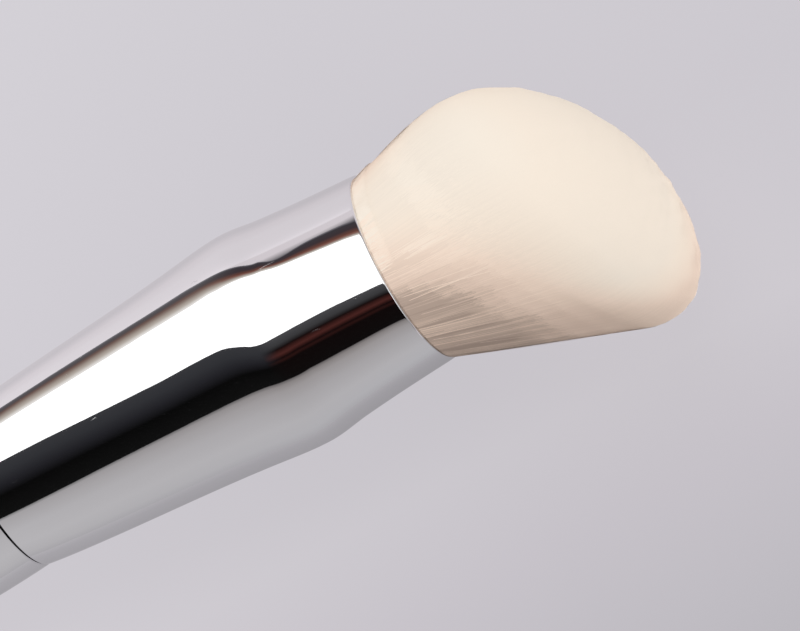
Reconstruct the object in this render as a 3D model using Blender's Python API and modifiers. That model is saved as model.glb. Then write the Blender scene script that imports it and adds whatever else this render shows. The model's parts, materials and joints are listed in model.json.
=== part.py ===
"""Foundation brush: a slanted dome of soft fibres in a shouldered, mirror-plated ferrule and handle.

Metres, +Z up. Each piece is modelled upright about the brush's own axis, with the ferrule's mouth at
height zero, the fibres above it and the handle below. The empty brush_root then lays the brush on its
side as it rests on a table, with the head towards +X and the long side of the dome towards -Y.
"""
import math
import random

import bmesh
import bpy
from mathutils import Vector

COLLECTION_NAME = "foundation_brush"

# How finely round pieces are cut, and the merge distance on the axis
TURN_STEPS = 60
INNER_TURN_STEPS = 40
SPAN_STEPS = 6
ROUND_STEPS = 3
MERGE_DISTANCE = 0.00001
SHARP_ANGLE = math.radians(35)
SOLVER_STEPS = 50

# Free space between pieces that seat on each other
FIT_GAP = 0.0003

# Ferrule, from the seam at the handle up to the mouth
FERRULE_LENGTH = 0.0522
SEAM_RADIUS = 0.00975
MOUTH_RADIUS = 0.0114
SHOULDER_RISE = 0.00145
SHOULDER_SETBACK = 0.0168
SHOULDER_ROUND_BEHIND = 0.0057
SHOULDER_ROUND_AHEAD = 0.0048
FLARE_END_SHARE = 0.85
NECK_SHARE = 0.62
SEAM_SLOPE_SHARE = 0.12
FLARE_END_SLOPE_SHARE = 0.118
NECK_SLOPE_SHARE = 0.1
MOUTH_SLOPE_SHARE = 0.06
RIM_WALL = 0.0006
RIM_ROUND = 0.0003
REAR_WALL = 0.0009
REAR_LAND_LENGTH = 0.0136
SEAT_LEDGE = 0.001

# Knot cup, pressed in at the mouth, and the potting resin and fibre roots that it holds
CUP_SETBACK = 0.0018
CUP_LENGTH = 0.0146
CUP_WALL = 0.0005
CUP_FLOOR = 0.0006
ROOT_SLICE_RECESS = 0.0006
ROOT_SLICE_THICKNESS = 0.003
ROOT_MARGIN = 0.0005
ROOT_BITE = 0.0005

# Fibre head: tufts fan out of the mouth and end on a slanted, rounded dome
TUFT_COUNT = 350
TUFT_FILL_SHARE = 0.72
TUFT_ROOT_SHARE = 0.9
TUFT_TIP_SHARE = 0.5
TUFT_BELLY_SHARE = 0.85
TUFT_JITTER = 0.0003
TUFT_SEED = 7
GOLDEN_TURN = math.pi * (math.sqrt(5) - 1)
HEAD_BASE_RADIUS = 0.01102
LONG_SIDE_FLARE_SHARE = 0.378
SHORT_SIDE_FLARE_SHARE = 0.345
FLANK_FLARE_SHARE = 0.25
DOME_CENTRE_HEIGHT = 0.0113
DOME_CENTRE_LEAN = 0.0046
DOME_LONG_RADIUS = 0.0215
DOME_SHORT_RADIUS = 0.0177
DOME_FLANK_RADIUS = 0.0168
DOME_LEAN_ANGLE = math.radians(55)
DOME_EDGE_SHARE = 0.97
DOME_EDGE_POWER = 8
SHORTEST_TUFT_HEIGHT = 0.006

# Handle, from the seam down to the flat on its tail
SEAM_GAP = 0.0003
HANDLE_LENGTH = 0.084
EDGE_ROUND = 0.00025
BELLY_RISE = 0.0005
BELLY_SETBACK = 0.013
TAIL_RADIUS = 0.0062
TAIL_ROUND_LENGTH = 0.0044
TAIL_FLAT_RADIUS = 0.0034
WAIST_SETBACK_SHARE = 0.6
WAIST_RADIUS_SHARE = 0.62
FRONT_SLOPE_SHARE = 0.08
WAIST_SLOPE_SHARE = 0.062
TAIL_SLOPE_SHARE = 0.075
HANDLE_WALL = 0.0024
CAVITY_LEDGE = 0.0008
CAVITY_END_SETBACK = 0.011

# Coupler, the plain sleeve that is glued into both the ferrule and the handle
COUPLER_IN_FERRULE = 0.013
COUPLER_IN_HANDLE = 0.015
COUPLER_STEP = 0.0005
COUPLER_WALL = 0.0016
COUPLER_LEAD = 0.0005
GLUE_GROOVE_WIDTH = 0.0012
GLUE_GROOVE_DEPTH = 0.0004
GLUE_GROOVE_COUNT = 2

# Places and radii that follow from the sizes above
MOUTH_BORE = MOUTH_RADIUS - RIM_WALL
SHOULDER_RADIUS = MOUTH_RADIUS + SHOULDER_RISE
CUP_RADIUS = MOUTH_BORE - FIT_GAP
CUP_BORE = CUP_RADIUS - CUP_WALL
CUP_SEAT_DEPTH = CUP_SETBACK + CUP_LENGTH + FIT_GAP
ROOT_SLICE_RADIUS = CUP_BORE - FIT_GAP
ROOT_SLICE_DEPTH = CUP_SETBACK + ROOT_SLICE_RECESS
REAR_BORE = SEAM_RADIUS - REAR_WALL
HANDLE_BORE = REAR_BORE - COUPLER_STEP
HANDLE_TOP = -(FERRULE_LENGTH + SEAM_GAP)
BELLY_RADIUS = SEAM_RADIUS + BELLY_RISE

# Colours, roughness and metallic value of each finish
MIRROR_PLATE = {"colour": (0.86, 0.86, 0.88, 1), "roughness": 0.06, "metallic": 1.0}
CREAM_FIBRE = {"colour": (0.90, 0.81, 0.68, 1), "roughness": 0.75, "metallic": 0.0}
CUP_METAL = {"colour": (0.76, 0.77, 0.78, 1), "roughness": 0.35, "metallic": 0.9}
AMBER_RESIN = {"colour": (0.62, 0.48, 0.26, 1), "roughness": 0.3, "metallic": 0.0}
COUPLER_PLASTIC = {"colour": (0.13, 0.13, 0.14, 1), "roughness": 0.6, "metallic": 0.0}


def clear_scene():
    """Take every object out of the open scene."""
    for obj in list(bpy.data.objects):
        bpy.data.objects.remove(obj)


def new_collection(name):
    """Add a collection to the scene."""
    collection = bpy.data.collections.new(name)
    bpy.context.scene.collection.children.link(collection)
    return collection


def finish_material(name, finish):
    """Make a Principled material from a finish."""
    material = bpy.data.materials.new(name)
    material.use_nodes = True
    shader = material.node_tree.nodes["Principled BSDF"]
    shader.inputs["Base Color"].default_value = finish["colour"]
    shader.inputs["Roughness"].default_value = finish["roughness"]
    shader.inputs["Metallic"].default_value = finish["metallic"]
    return material


def mesh_of(obj):
    """Copy an object's evaluated shape to a mesh of its own."""
    bpy.context.view_layer.update()
    evaluated = obj.evaluated_get(bpy.context.evaluated_depsgraph_get())
    return bpy.data.meshes.new_from_object(evaluated)


def shade_round(mesh):
    """Shade a mesh smooth, with its real edges kept sharp."""
    mesh.shade_smooth()
    mesh.set_sharp_from_angle(angle=SHARP_ANGLE)


def span(start, end):
    """Points of a smooth curve between two stations of (height, radius, slope), without the last one."""
    drop = end[0] - start[0]
    points = []
    for step in range(SPAN_STEPS):
        t = step / SPAN_STEPS
        from_start = (1 + 2 * t) * (1 - t) ** 2
        start_pull = t * (1 - t) ** 2
        end_pull = t * t * (t - 1)
        radius = from_start * start[1] + (1 - from_start) * end[1]
        radius += drop * (start_pull * start[2] + end_pull * end[2])
        points.append((start[0] + drop * t, radius))
    return points


def smooth_outline(stations):
    """Points through all the stations, with the last one."""
    points = []
    for start, end in zip(stations, stations[1:]):
        points += span(start, end)
    return points + [stations[-1][:2]]


def round_over(start, corner, end):
    """Points of a quarter round from start to end, which turns about the far side of the corner."""
    points = []
    for step in range(ROUND_STEPS + 1):
        turn = math.radians(90) * step / ROUND_STEPS
        toward_corner = math.sin(turn)
        past_corner = 1 - math.cos(turn)
        height = start[0] + (corner[0] - start[0]) * toward_corner + (end[0] - corner[0]) * past_corner
        radius = start[1] + (corner[1] - start[1]) * toward_corner + (end[1] - corner[1]) * past_corner
        points.append((height, radius))
    return points


def turned(name, outline, steps=TURN_STEPS):
    """Spin a closed outline of (height, radius) points about the upright axis into a solid."""
    profile = bpy.data.meshes.new(name)
    edges = [(index, (index + 1) % len(outline)) for index in range(len(outline))]
    profile.from_pydata([(radius, 0, height) for height, radius in outline], edges, [])
    obj = bpy.data.objects.new(name, profile)
    bpy.context.scene.collection.objects.link(obj)
    screw = obj.modifiers.new("turn", "SCREW")
    screw.steps = steps
    screw.render_steps = steps
    screw.use_merge_vertices = True
    screw.merge_threshold = MERGE_DISTANCE
    solid = mesh_of(obj)
    bpy.data.objects.remove(obj)
    solid.name = name
    return solid


def place(name, mesh, finish, collection, root):
    """Put a finished mesh in the part as one named piece with its own material."""
    shade_round(mesh)
    mesh.materials.clear()
    mesh.materials.append(finish_material(name, finish))
    obj = bpy.data.objects.new(name, mesh)
    obj.parent = root
    collection.objects.link(obj)
    return obj


def ferrule_stations():
    """Height, radius and slope of the ferrule's outside, from the mouth down to the seam."""
    flare_end_radius = SEAM_RADIUS + (SHOULDER_RADIUS - SEAM_RADIUS) * FLARE_END_SHARE
    neck_radius = MOUTH_RADIUS + SHOULDER_RISE * NECK_SHARE
    return [
        (0, MOUTH_RADIUS, -MOUTH_SLOPE_SHARE),
        (SHOULDER_ROUND_AHEAD - SHOULDER_SETBACK, neck_radius, -NECK_SLOPE_SHARE),
        (-SHOULDER_SETBACK, SHOULDER_RADIUS, 0),
        (-SHOULDER_SETBACK - SHOULDER_ROUND_BEHIND, flare_end_radius, FLARE_END_SLOPE_SHARE),
        (-FERRULE_LENGTH, SEAM_RADIUS, SEAM_SLOPE_SHARE),
    ]


def ferrule_outside():
    """Outside of the ferrule with its rounded rim and rear edge."""
    outline = smooth_outline(ferrule_stations())
    rim_start = (0, outline[0][1] - RIM_ROUND)
    rim_end = (-RIM_ROUND, outline[0][1])
    rear_start = (EDGE_ROUND - FERRULE_LENGTH, outline[-1][1])
    rear_end = (-FERRULE_LENGTH, outline[-1][1] - EDGE_ROUND)
    body = [point for point in outline if rear_start[0] < point[0] < rim_end[0]]
    return (
        round_over(rim_start, (0, rim_end[1]), rim_end)
        + body
        + round_over(rear_start, (rear_end[0], rear_start[1]), rear_end)
    )


def ferrule_mesh():
    """The sleeve: a straight bore for the cup, a ledge that seats it, and a land for the coupler."""
    inside = [
        (-FERRULE_LENGTH, REAR_BORE),
        (REAR_LAND_LENGTH - FERRULE_LENGTH, REAR_BORE),
        (-CUP_SEAT_DEPTH, MOUTH_BORE - SEAT_LEDGE),
        (-CUP_SEAT_DEPTH, MOUTH_BORE),
        (0, MOUTH_BORE),
    ]
    return turned("ferrule", ferrule_outside() + inside)


def handle_stations():
    """Height, radius and slope of the handle's outside, from the seam down to the tail's round."""
    tail_start = TAIL_ROUND_LENGTH - HANDLE_LENGTH
    waist_radius = TAIL_RADIUS + (BELLY_RADIUS - TAIL_RADIUS) * WAIST_RADIUS_SHARE
    return [
        (0, SEAM_RADIUS, -FRONT_SLOPE_SHARE),
        (-BELLY_SETBACK, BELLY_RADIUS, 0),
        (-HANDLE_LENGTH * WAIST_SETBACK_SHARE, waist_radius, WAIST_SLOPE_SHARE),
        (tail_start, TAIL_RADIUS, TAIL_SLOPE_SHARE),
    ]


def handle_outside():
    """Outside of the handle with its rounded front edge and round tail."""
    outline = smooth_outline(handle_stations())
    edge_start = (0, outline[0][1] - EDGE_ROUND)
    edge_end = (-EDGE_ROUND, outline[0][1])
    body = [point for point in outline[:-1] if point[0] < edge_end[0]]
    tail_corner = (-HANDLE_LENGTH, TAIL_RADIUS)
    tail_end = (-HANDLE_LENGTH, TAIL_FLAT_RADIUS)
    return (
        round_over(edge_start, (0, edge_end[1]), edge_end)
        + body
        + round_over(outline[-1], tail_corner, tail_end)
        + [(-HANDLE_LENGTH, 0)]
    )


def handle_mesh():
    """The handle shell: a bore for the coupler, a ledge that stops it, and a tapering hollow."""
    seat = -(COUPLER_IN_HANDLE + FIT_GAP)
    inside = [
        (CAVITY_END_SETBACK - HANDLE_LENGTH, 0),
        (CAVITY_END_SETBACK - HANDLE_LENGTH, TAIL_RADIUS - HANDLE_WALL),
        (seat, HANDLE_BORE - CAVITY_LEDGE),
        (seat, HANDLE_BORE),
        (0, HANDLE_BORE),
    ]
    return turned("handle", handle_outside() + inside)


def grooved(top, bottom, radius, groove_radius, count):
    """A straight wall from top to bottom with glue grooves spread evenly along it."""
    points = []
    pitch = (top - bottom) / (count + 1)
    for index in range(count):
        middle = top - pitch * (index + 1)
        groove_top = middle + GLUE_GROOVE_WIDTH / 2
        groove_bottom = middle - GLUE_GROOVE_WIDTH / 2
        points += [(groove_top, radius), (groove_top, groove_radius)]
        points += [(groove_bottom, groove_radius), (groove_bottom, radius)]
    return points


def coupler_mesh():
    """The coupler: an open sleeve in two diameters, with leads at its ends and glue grooves."""
    top = COUPLER_IN_FERRULE - FERRULE_LENGTH
    bottom = HANDLE_TOP - COUPLER_IN_HANDLE
    upper = REAR_BORE - FIT_GAP
    lower = HANDLE_BORE - FIT_GAP
    bore = lower - COUPLER_WALL
    step = HANDLE_TOP + SEAM_GAP / 2
    groove = GLUE_GROOVE_DEPTH
    outside = [(top, upper - COUPLER_LEAD), (top - COUPLER_LEAD, upper)]
    outside += grooved(top, -FERRULE_LENGTH, upper, upper - groove, GLUE_GROOVE_COUNT)
    outside += [(step, upper), (step, lower)]
    outside += grooved(HANDLE_TOP, bottom, lower, lower - groove, GLUE_GROOVE_COUNT)
    outside += [(bottom + COUPLER_LEAD, lower), (bottom, lower - COUPLER_LEAD)]
    return turned("coupler", outside + [(bottom, bore), (top, bore)], INNER_TURN_STEPS)


def cup_mesh():
    """The knot cup: a thin drawn cup, open at the mouth and closed behind the resin."""
    top = -CUP_SETBACK
    bottom = -(CUP_SETBACK + CUP_LENGTH)
    outline = [
        (top, CUP_RADIUS),
        (bottom, CUP_RADIUS),
        (bottom, 0),
        (bottom + CUP_FLOOR, 0),
        (bottom + CUP_FLOOR, CUP_BORE),
        (top, CUP_BORE),
    ]
    return turned("knot_cup", outline, INNER_TURN_STEPS)


def resin_mesh():
    """The cast resin between the cup's floor and the fibre roots."""
    top = -(ROOT_SLICE_DEPTH + ROOT_SLICE_THICKNESS + FIT_GAP)
    bottom = CUP_FLOOR + FIT_GAP - CUP_SETBACK - CUP_LENGTH
    outline = [(top, 0), (top, ROOT_SLICE_RADIUS), (bottom, ROOT_SLICE_RADIUS), (bottom, 0)]
    return turned("root_resin", outline, INNER_TURN_STEPS)


def tuft_radius(half_width):
    """Half the thickness of a tuft where the head's narrower half width is this."""
    return TUFT_FILL_SHARE * half_width / math.sqrt(TUFT_COUNT)


def fan(share, turn, height):
    """Middle of the tuft with this share of the radius and this turn, at a height over the mouth."""
    long_side = HEAD_BASE_RADIUS + height * LONG_SIDE_FLARE_SHARE
    short_side = HEAD_BASE_RADIUS + height * SHORT_SIDE_FLARE_SHARE
    flank = HEAD_BASE_RADIUS + height * FLANK_FLARE_SHARE
    half_width = (long_side + short_side) / 2
    radius = tuft_radius(flank)
    lean = (long_side - short_side) / 2 + share * math.cos(turn) * (half_width - radius)
    side = share * math.sin(turn) * (flank - radius)
    return Vector((side, -lean, height)), radius


def dome_reach(point):
    """How far out a point lies, as a share of the dome's own radius in that direction."""
    ahead = point.z - DOME_CENTRE_HEIGHT
    lean = -point.y - DOME_CENTRE_LEAN
    along = ahead * math.cos(DOME_LEAN_ANGLE) + lean * math.sin(DOME_LEAN_ANGLE)
    across = lean * math.cos(DOME_LEAN_ANGLE) - ahead * math.sin(DOME_LEAN_ANGLE)
    scaled = (along / DOME_LONG_RADIUS, across / DOME_SHORT_RADIUS, point.x / DOME_FLANK_RADIUS)
    return math.sqrt(sum(value * value for value in scaled))


def tip_height(share, turn):
    """Height at which a tuft meets the dome, whose edge is drawn in round the outer tufts."""
    edge = (DOME_EDGE_SHARE * share) ** DOME_EDGE_POWER
    limit = (1 - edge) ** (1 / DOME_EDGE_POWER)
    low = SHORTEST_TUFT_HEIGHT
    high = DOME_CENTRE_HEIGHT + DOME_LONG_RADIUS
    for _ in range(SOLVER_STEPS):
        middle = (low + high) / 2
        if dome_reach(fan(share, turn, middle)[0]) < limit:
            low = middle
        else:
            high = middle
    return low


def tuft_path(index, chance):
    """Root, belly and tip of one tuft, each with its radius."""
    share = math.sqrt((index + 1 / 2) / TUFT_COUNT)
    turn = index * GOLDEN_TURN
    root_radius = tuft_radius(ROOT_SLICE_RADIUS) * TUFT_ROOT_SHARE
    reach = (ROOT_SLICE_RADIUS - ROOT_MARGIN - root_radius) * share
    root_height = -(ROOT_SLICE_DEPTH + ROOT_BITE)
    root = Vector((reach * math.sin(turn), -reach * math.cos(turn), root_height))
    tip_at = tip_height(share, turn) + chance.uniform(-TUFT_JITTER, 0)
    belly_at = root_height + (tip_at - root_height) * TUFT_BELLY_SHARE
    belly, belly_radius = fan(share, turn, belly_at)
    tip, full_radius = fan(share, turn, tip_at)
    return [(root, root_radius), (belly, belly_radius), (tip, full_radius * TUFT_TIP_SHARE)]


def tufts_mesh():
    """All the tufts as four-sided tapering tubes, with their caps welded on."""
    curve = bpy.data.curves.new("tufts", "CURVE")
    curve.dimensions = "3D"
    curve.bevel_depth = 1
    curve.bevel_resolution = 0
    curve.use_fill_caps = True
    chance = random.Random(TUFT_SEED)
    for index in range(TUFT_COUNT):
        path = tuft_path(index, chance)
        spline = curve.splines.new("POLY")
        spline.points.add(len(path) - 1)
        for point, (middle, radius) in zip(spline.points, path):
            point.co = (*middle, 1)
            point.radius = radius
    obj = bpy.data.objects.new("tufts", curve)
    bpy.context.scene.collection.objects.link(obj)
    mesh = mesh_of(obj)
    bpy.data.objects.remove(obj)
    welded = bmesh.new()
    welded.from_mesh(mesh)
    bmesh.ops.remove_doubles(welded, verts=welded.verts, dist=MERGE_DISTANCE)
    bmesh.ops.recalc_face_normals(welded, faces=welded.faces)
    welded.to_mesh(mesh)
    welded.free()
    return mesh


def bristle_mesh(cutters):
    """The fibre head: every tuft fused to the bound slice of roots that sits in the cup."""
    top = -ROOT_SLICE_DEPTH
    bottom = top - ROOT_SLICE_THICKNESS
    outline = [(top, 0), (top, ROOT_SLICE_RADIUS), (bottom, ROOT_SLICE_RADIUS), (bottom, 0)]
    slice_mesh = turned("root_slice", outline, INNER_TURN_STEPS)
    base = bpy.data.objects.new("root_slice", slice_mesh)
    tufts = bpy.data.objects.new("tufts", tufts_mesh())
    for obj in (base, tufts):
        obj.hide_render = True
        obj.display_type = "WIRE"
        cutters.objects.link(obj)
    fuse = base.modifiers.new("fuse", "BOOLEAN")
    fuse.operation = "UNION"
    fuse.solver = "EXACT"
    fuse.object = tufts
    fused = mesh_of(base)
    bpy.data.objects.remove(base)
    bpy.data.objects.remove(tufts)
    return fused


def lowest(outline, shift, tilt):
    """Lowest point of a turned outline once the brush is laid down with this tilt."""
    return min((height + shift) * math.sin(tilt) - radius * math.cos(tilt) for height, radius in outline)


def resting_tilt():
    """Tilt at which the ferrule's shoulder and the handle both touch the table."""
    low = 0
    high = math.atan(SHOULDER_RADIUS / FERRULE_LENGTH)
    for _ in range(SOLVER_STEPS):
        middle = (low + high) / 2
        if lowest(ferrule_outside(), 0, middle) < lowest(handle_outside(), HANDLE_TOP, middle):
            low = middle
        else:
            high = middle
    return low


def lay_down(root, pieces):
    """Tilt the brush to its rest and bring its box's bottom centre to the origin."""
    root.rotation_euler = (0, math.radians(90) - resting_tilt(), 0)
    bpy.context.view_layer.update()
    corners = [piece.matrix_world @ vertex.co for piece in pieces for vertex in piece.data.vertices]
    for axis in range(2):
        values = [corner[axis] for corner in corners]
        root.location[axis] = -(min(values) + max(values)) / 2
    root.location.z = -min(corner.z for corner in corners)
    bpy.context.view_layer.update()


def build():
    """Model every piece and lay the brush on its side."""
    clear_scene()
    parts = new_collection(COLLECTION_NAME)
    cutters = new_collection("cutters")
    root = bpy.data.objects.new("brush_root", None)
    parts.objects.link(root)
    pieces = [
        place("ferrule", ferrule_mesh(), MIRROR_PLATE, parts, root),
        place("knot_cup", cup_mesh(), CUP_METAL, parts, root),
        place("root_resin", resin_mesh(), AMBER_RESIN, parts, root),
        place("bristle_head", bristle_mesh(cutters), CREAM_FIBRE, parts, root),
        place("coupler", coupler_mesh(), COUPLER_PLASTIC, parts, root),
    ]
    handle = place("handle", handle_mesh(), MIRROR_PLATE, parts, root)
    handle.location.z = HANDLE_TOP
    pieces.append(handle)
    lay_down(root, pieces)
    tail = root.matrix_world @ Vector((0, 0, HANDLE_TOP - HANDLE_LENGTH))
    print("tail flat at", tuple(tail), "tilt", math.degrees(resting_tilt()))


build()
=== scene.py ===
"""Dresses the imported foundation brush: mirror plating, drawn cup, cast resin and a dense head of fibres."""

import json
import logging
import math
from collections.abc import Callable, Sequence
from dataclasses import dataclass, field
from enum import Enum

import bpy
import numpy as np
from mathutils import Matrix, Vector


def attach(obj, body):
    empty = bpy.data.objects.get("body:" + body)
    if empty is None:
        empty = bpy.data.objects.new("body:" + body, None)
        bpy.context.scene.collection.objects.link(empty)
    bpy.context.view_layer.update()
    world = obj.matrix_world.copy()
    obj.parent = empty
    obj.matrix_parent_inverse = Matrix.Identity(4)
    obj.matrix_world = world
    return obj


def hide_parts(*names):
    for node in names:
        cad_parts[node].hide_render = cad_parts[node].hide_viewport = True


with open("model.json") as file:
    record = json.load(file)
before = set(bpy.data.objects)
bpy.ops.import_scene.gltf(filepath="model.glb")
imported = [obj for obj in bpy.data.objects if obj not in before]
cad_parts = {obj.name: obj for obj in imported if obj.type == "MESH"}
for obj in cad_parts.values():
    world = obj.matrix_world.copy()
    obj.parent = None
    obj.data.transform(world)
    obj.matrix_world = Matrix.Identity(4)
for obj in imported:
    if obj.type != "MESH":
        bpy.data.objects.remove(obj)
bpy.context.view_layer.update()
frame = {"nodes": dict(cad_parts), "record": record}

LOG = logging.getLogger("foundation_brush")
ROOT_BODY = "root"
MILLI = 0.001
# Attribute of the body's painted light and shade, by how far it faces the lit side.
PAINTED_LIGHT_SHARE = "painted_light_share"
DOME_SHARE = "dome_share"
SCRATCH_LEVEL = 0.735
SCRATCH_STRETCH = (0.12, 1.0, 1.0)
PATCH_WAVES = 160.0

Point = tuple[float, float]
Colour = tuple[float, float, float]
Stops = Sequence[tuple[float, Colour]]


class Node(Enum):
    """CAD nodes of the brush, by what they are."""

    HEAD = "bristle_head"
    FERRULE = "ferrule"
    HANDLE = "handle"
    CUP = "knot_cup"
    RESIN = "root_resin"
    COUPLER = "coupler"


class Slot(Enum):
    """Names of material slots in the record."""

    FIBRE = "fibre"
    FERRULE = "ferrule_plate"
    HANDLE = "handle_plate"


class Ray(Enum):
    """Outputs of the Light Path node that the studio tells apart."""

    CAMERA = "Is Camera Ray"
    GLOSSY = "Is Glossy Ray"
    DIFFUSE = "Is Diffuse Ray"


def deselect_all() -> None:
    """Leave nothing selected, so that an operator acts only on what it makes."""
    for obj in list(bpy.context.selected_objects):
        obj.select_set(False)


def name_active(name: str) -> bpy.types.Object:
    """Give the active object and its mesh one name, and return it.

    Args:
        name: The name for both.

    Returns:
        The active object.
    """
    obj = bpy.context.active_object
    obj.name = name
    obj.data.name = name
    return obj


def hide_from(obj: bpy.types.Object, *kinds: str) -> None:
    """Leave an object out of what some kinds of ray meet."""
    for kind in kinds:
        setattr(obj, f"visible_{kind}", False)


def report(obj: bpy.types.Object) -> None:
    """Log one finished piece with its count of faces."""
    LOG.info("piece %s: %d faces", obj.name, len(obj.data.polygons))


def opaque(colour: Colour) -> tuple[float, float, float, float]:
    """Colour with a full alpha, as Blender's sockets want it."""
    return (*colour, 1.0)


@dataclass(frozen=True)
class BrushAxes:
    """Where the brush lies: the mouth's centre, the line to the tip, the long side and the upper side.

    Attributes:
        mouth: Middle of the ferrule's mouth.
        along: Unit vector from the tail to the tip.
        long_side: Unit vector toward the long side of the slanted dome.
        above: Unit vector square to both, which points away from the table.
    """

    mouth: Vector
    along: Vector
    long_side: Vector
    above: Vector

    @classmethod
    def from_record(cls, record: dict, tail_to_mouth: float) -> "BrushAxes":
        """Read the brush's line from the flat tail face that the record gives as a mount.

        Args:
            record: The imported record.
            tail_to_mouth: Distance from the tail's flat face to the mouth.

        Returns:
            The axes in the frame of the row.
        """
        mount = record["mounts"][0]
        along = -Vector(mount["axis"]).normalized()
        long_side = Vector((0.0, -1.0, 0.0))
        mouth = Vector(mount["pos_m"]) + along * tail_to_mouth
        return cls(mouth, along, long_side, long_side.cross(along))

    def upright(self) -> Matrix:
        """Matrix from the upright brush, whose long side faces -Y, to where it lies."""
        basis = Matrix((-self.above, -self.long_side, self.along)).transposed()
        return Matrix.Translation(self.mouth) @ basis.to_4x4()

    def around(self, distance: float, turn: float, radius: float) -> Vector:
        """Point beside the brush.

        Args:
            distance: How far along the brush from the mouth.
            turn: Turn in degrees from straight above toward the short side.
            radius: How far from the brush's middle line.

        Returns:
            The point in the frame of the row.
        """
        angle = math.radians(turn)
        out = self.above * math.cos(angle) - self.long_side * math.sin(angle)
        return self.mouth + self.along * distance + out * radius


@dataclass(frozen=True)
class PhotoCamera:
    """A long lens that looks steeply down on the brush.

    Attributes:
        distance: From the lens to the mouth.
        width_seen: Width of the view at the mouth.
        sensor: Width of the sensor in millimetres.
        turn: Turn of the brush's line in the picture, in degrees from the right.
        lean: Lean of the brush's tip toward the lens, in degrees.
        mouth_right: How far right of the view's middle the mouth lies.
        mouth_up: How far above the view's middle the mouth lies.
    """

    distance: float = 0.8
    width_seen: float = 0.0876
    sensor: float = 36.0
    turn: float = 29.0
    lean: float = 14.2
    mouth_right: float = 0.00059
    mouth_up: float = 0.00543

    def build(self, axes: BrushAxes) -> None:
        """Make the camera and set it as the scene's own.

        Args:
            axes: Where the brush lies.
        """
        turn, lean = math.radians(self.turn), math.radians(self.lean)
        level = axes.along * math.cos(lean) - axes.above * math.sin(lean)
        right = level * math.cos(turn) + axes.long_side * math.sin(turn)
        upward = level * math.sin(turn) - axes.long_side * math.cos(turn)
        back = axes.along * math.sin(lean) + axes.above * math.cos(lean)
        data = bpy.data.cameras.new("photo_camera")
        data.sensor_width = self.sensor
        data.lens = self.distance / self.width_seen * self.sensor
        data.clip_start = self.distance / 10
        data.clip_end = self.distance * 10
        camera = bpy.data.objects.new("photo_camera", data)
        bpy.context.scene.collection.objects.link(camera)
        eye = axes.mouth - right * self.mouth_right - upward * self.mouth_up + back * self.distance
        basis = Matrix((right, upward, back)).transposed()
        camera.matrix_world = Matrix.Translation(eye) @ basis.to_4x4()
        bpy.context.scene.camera = camera


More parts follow.
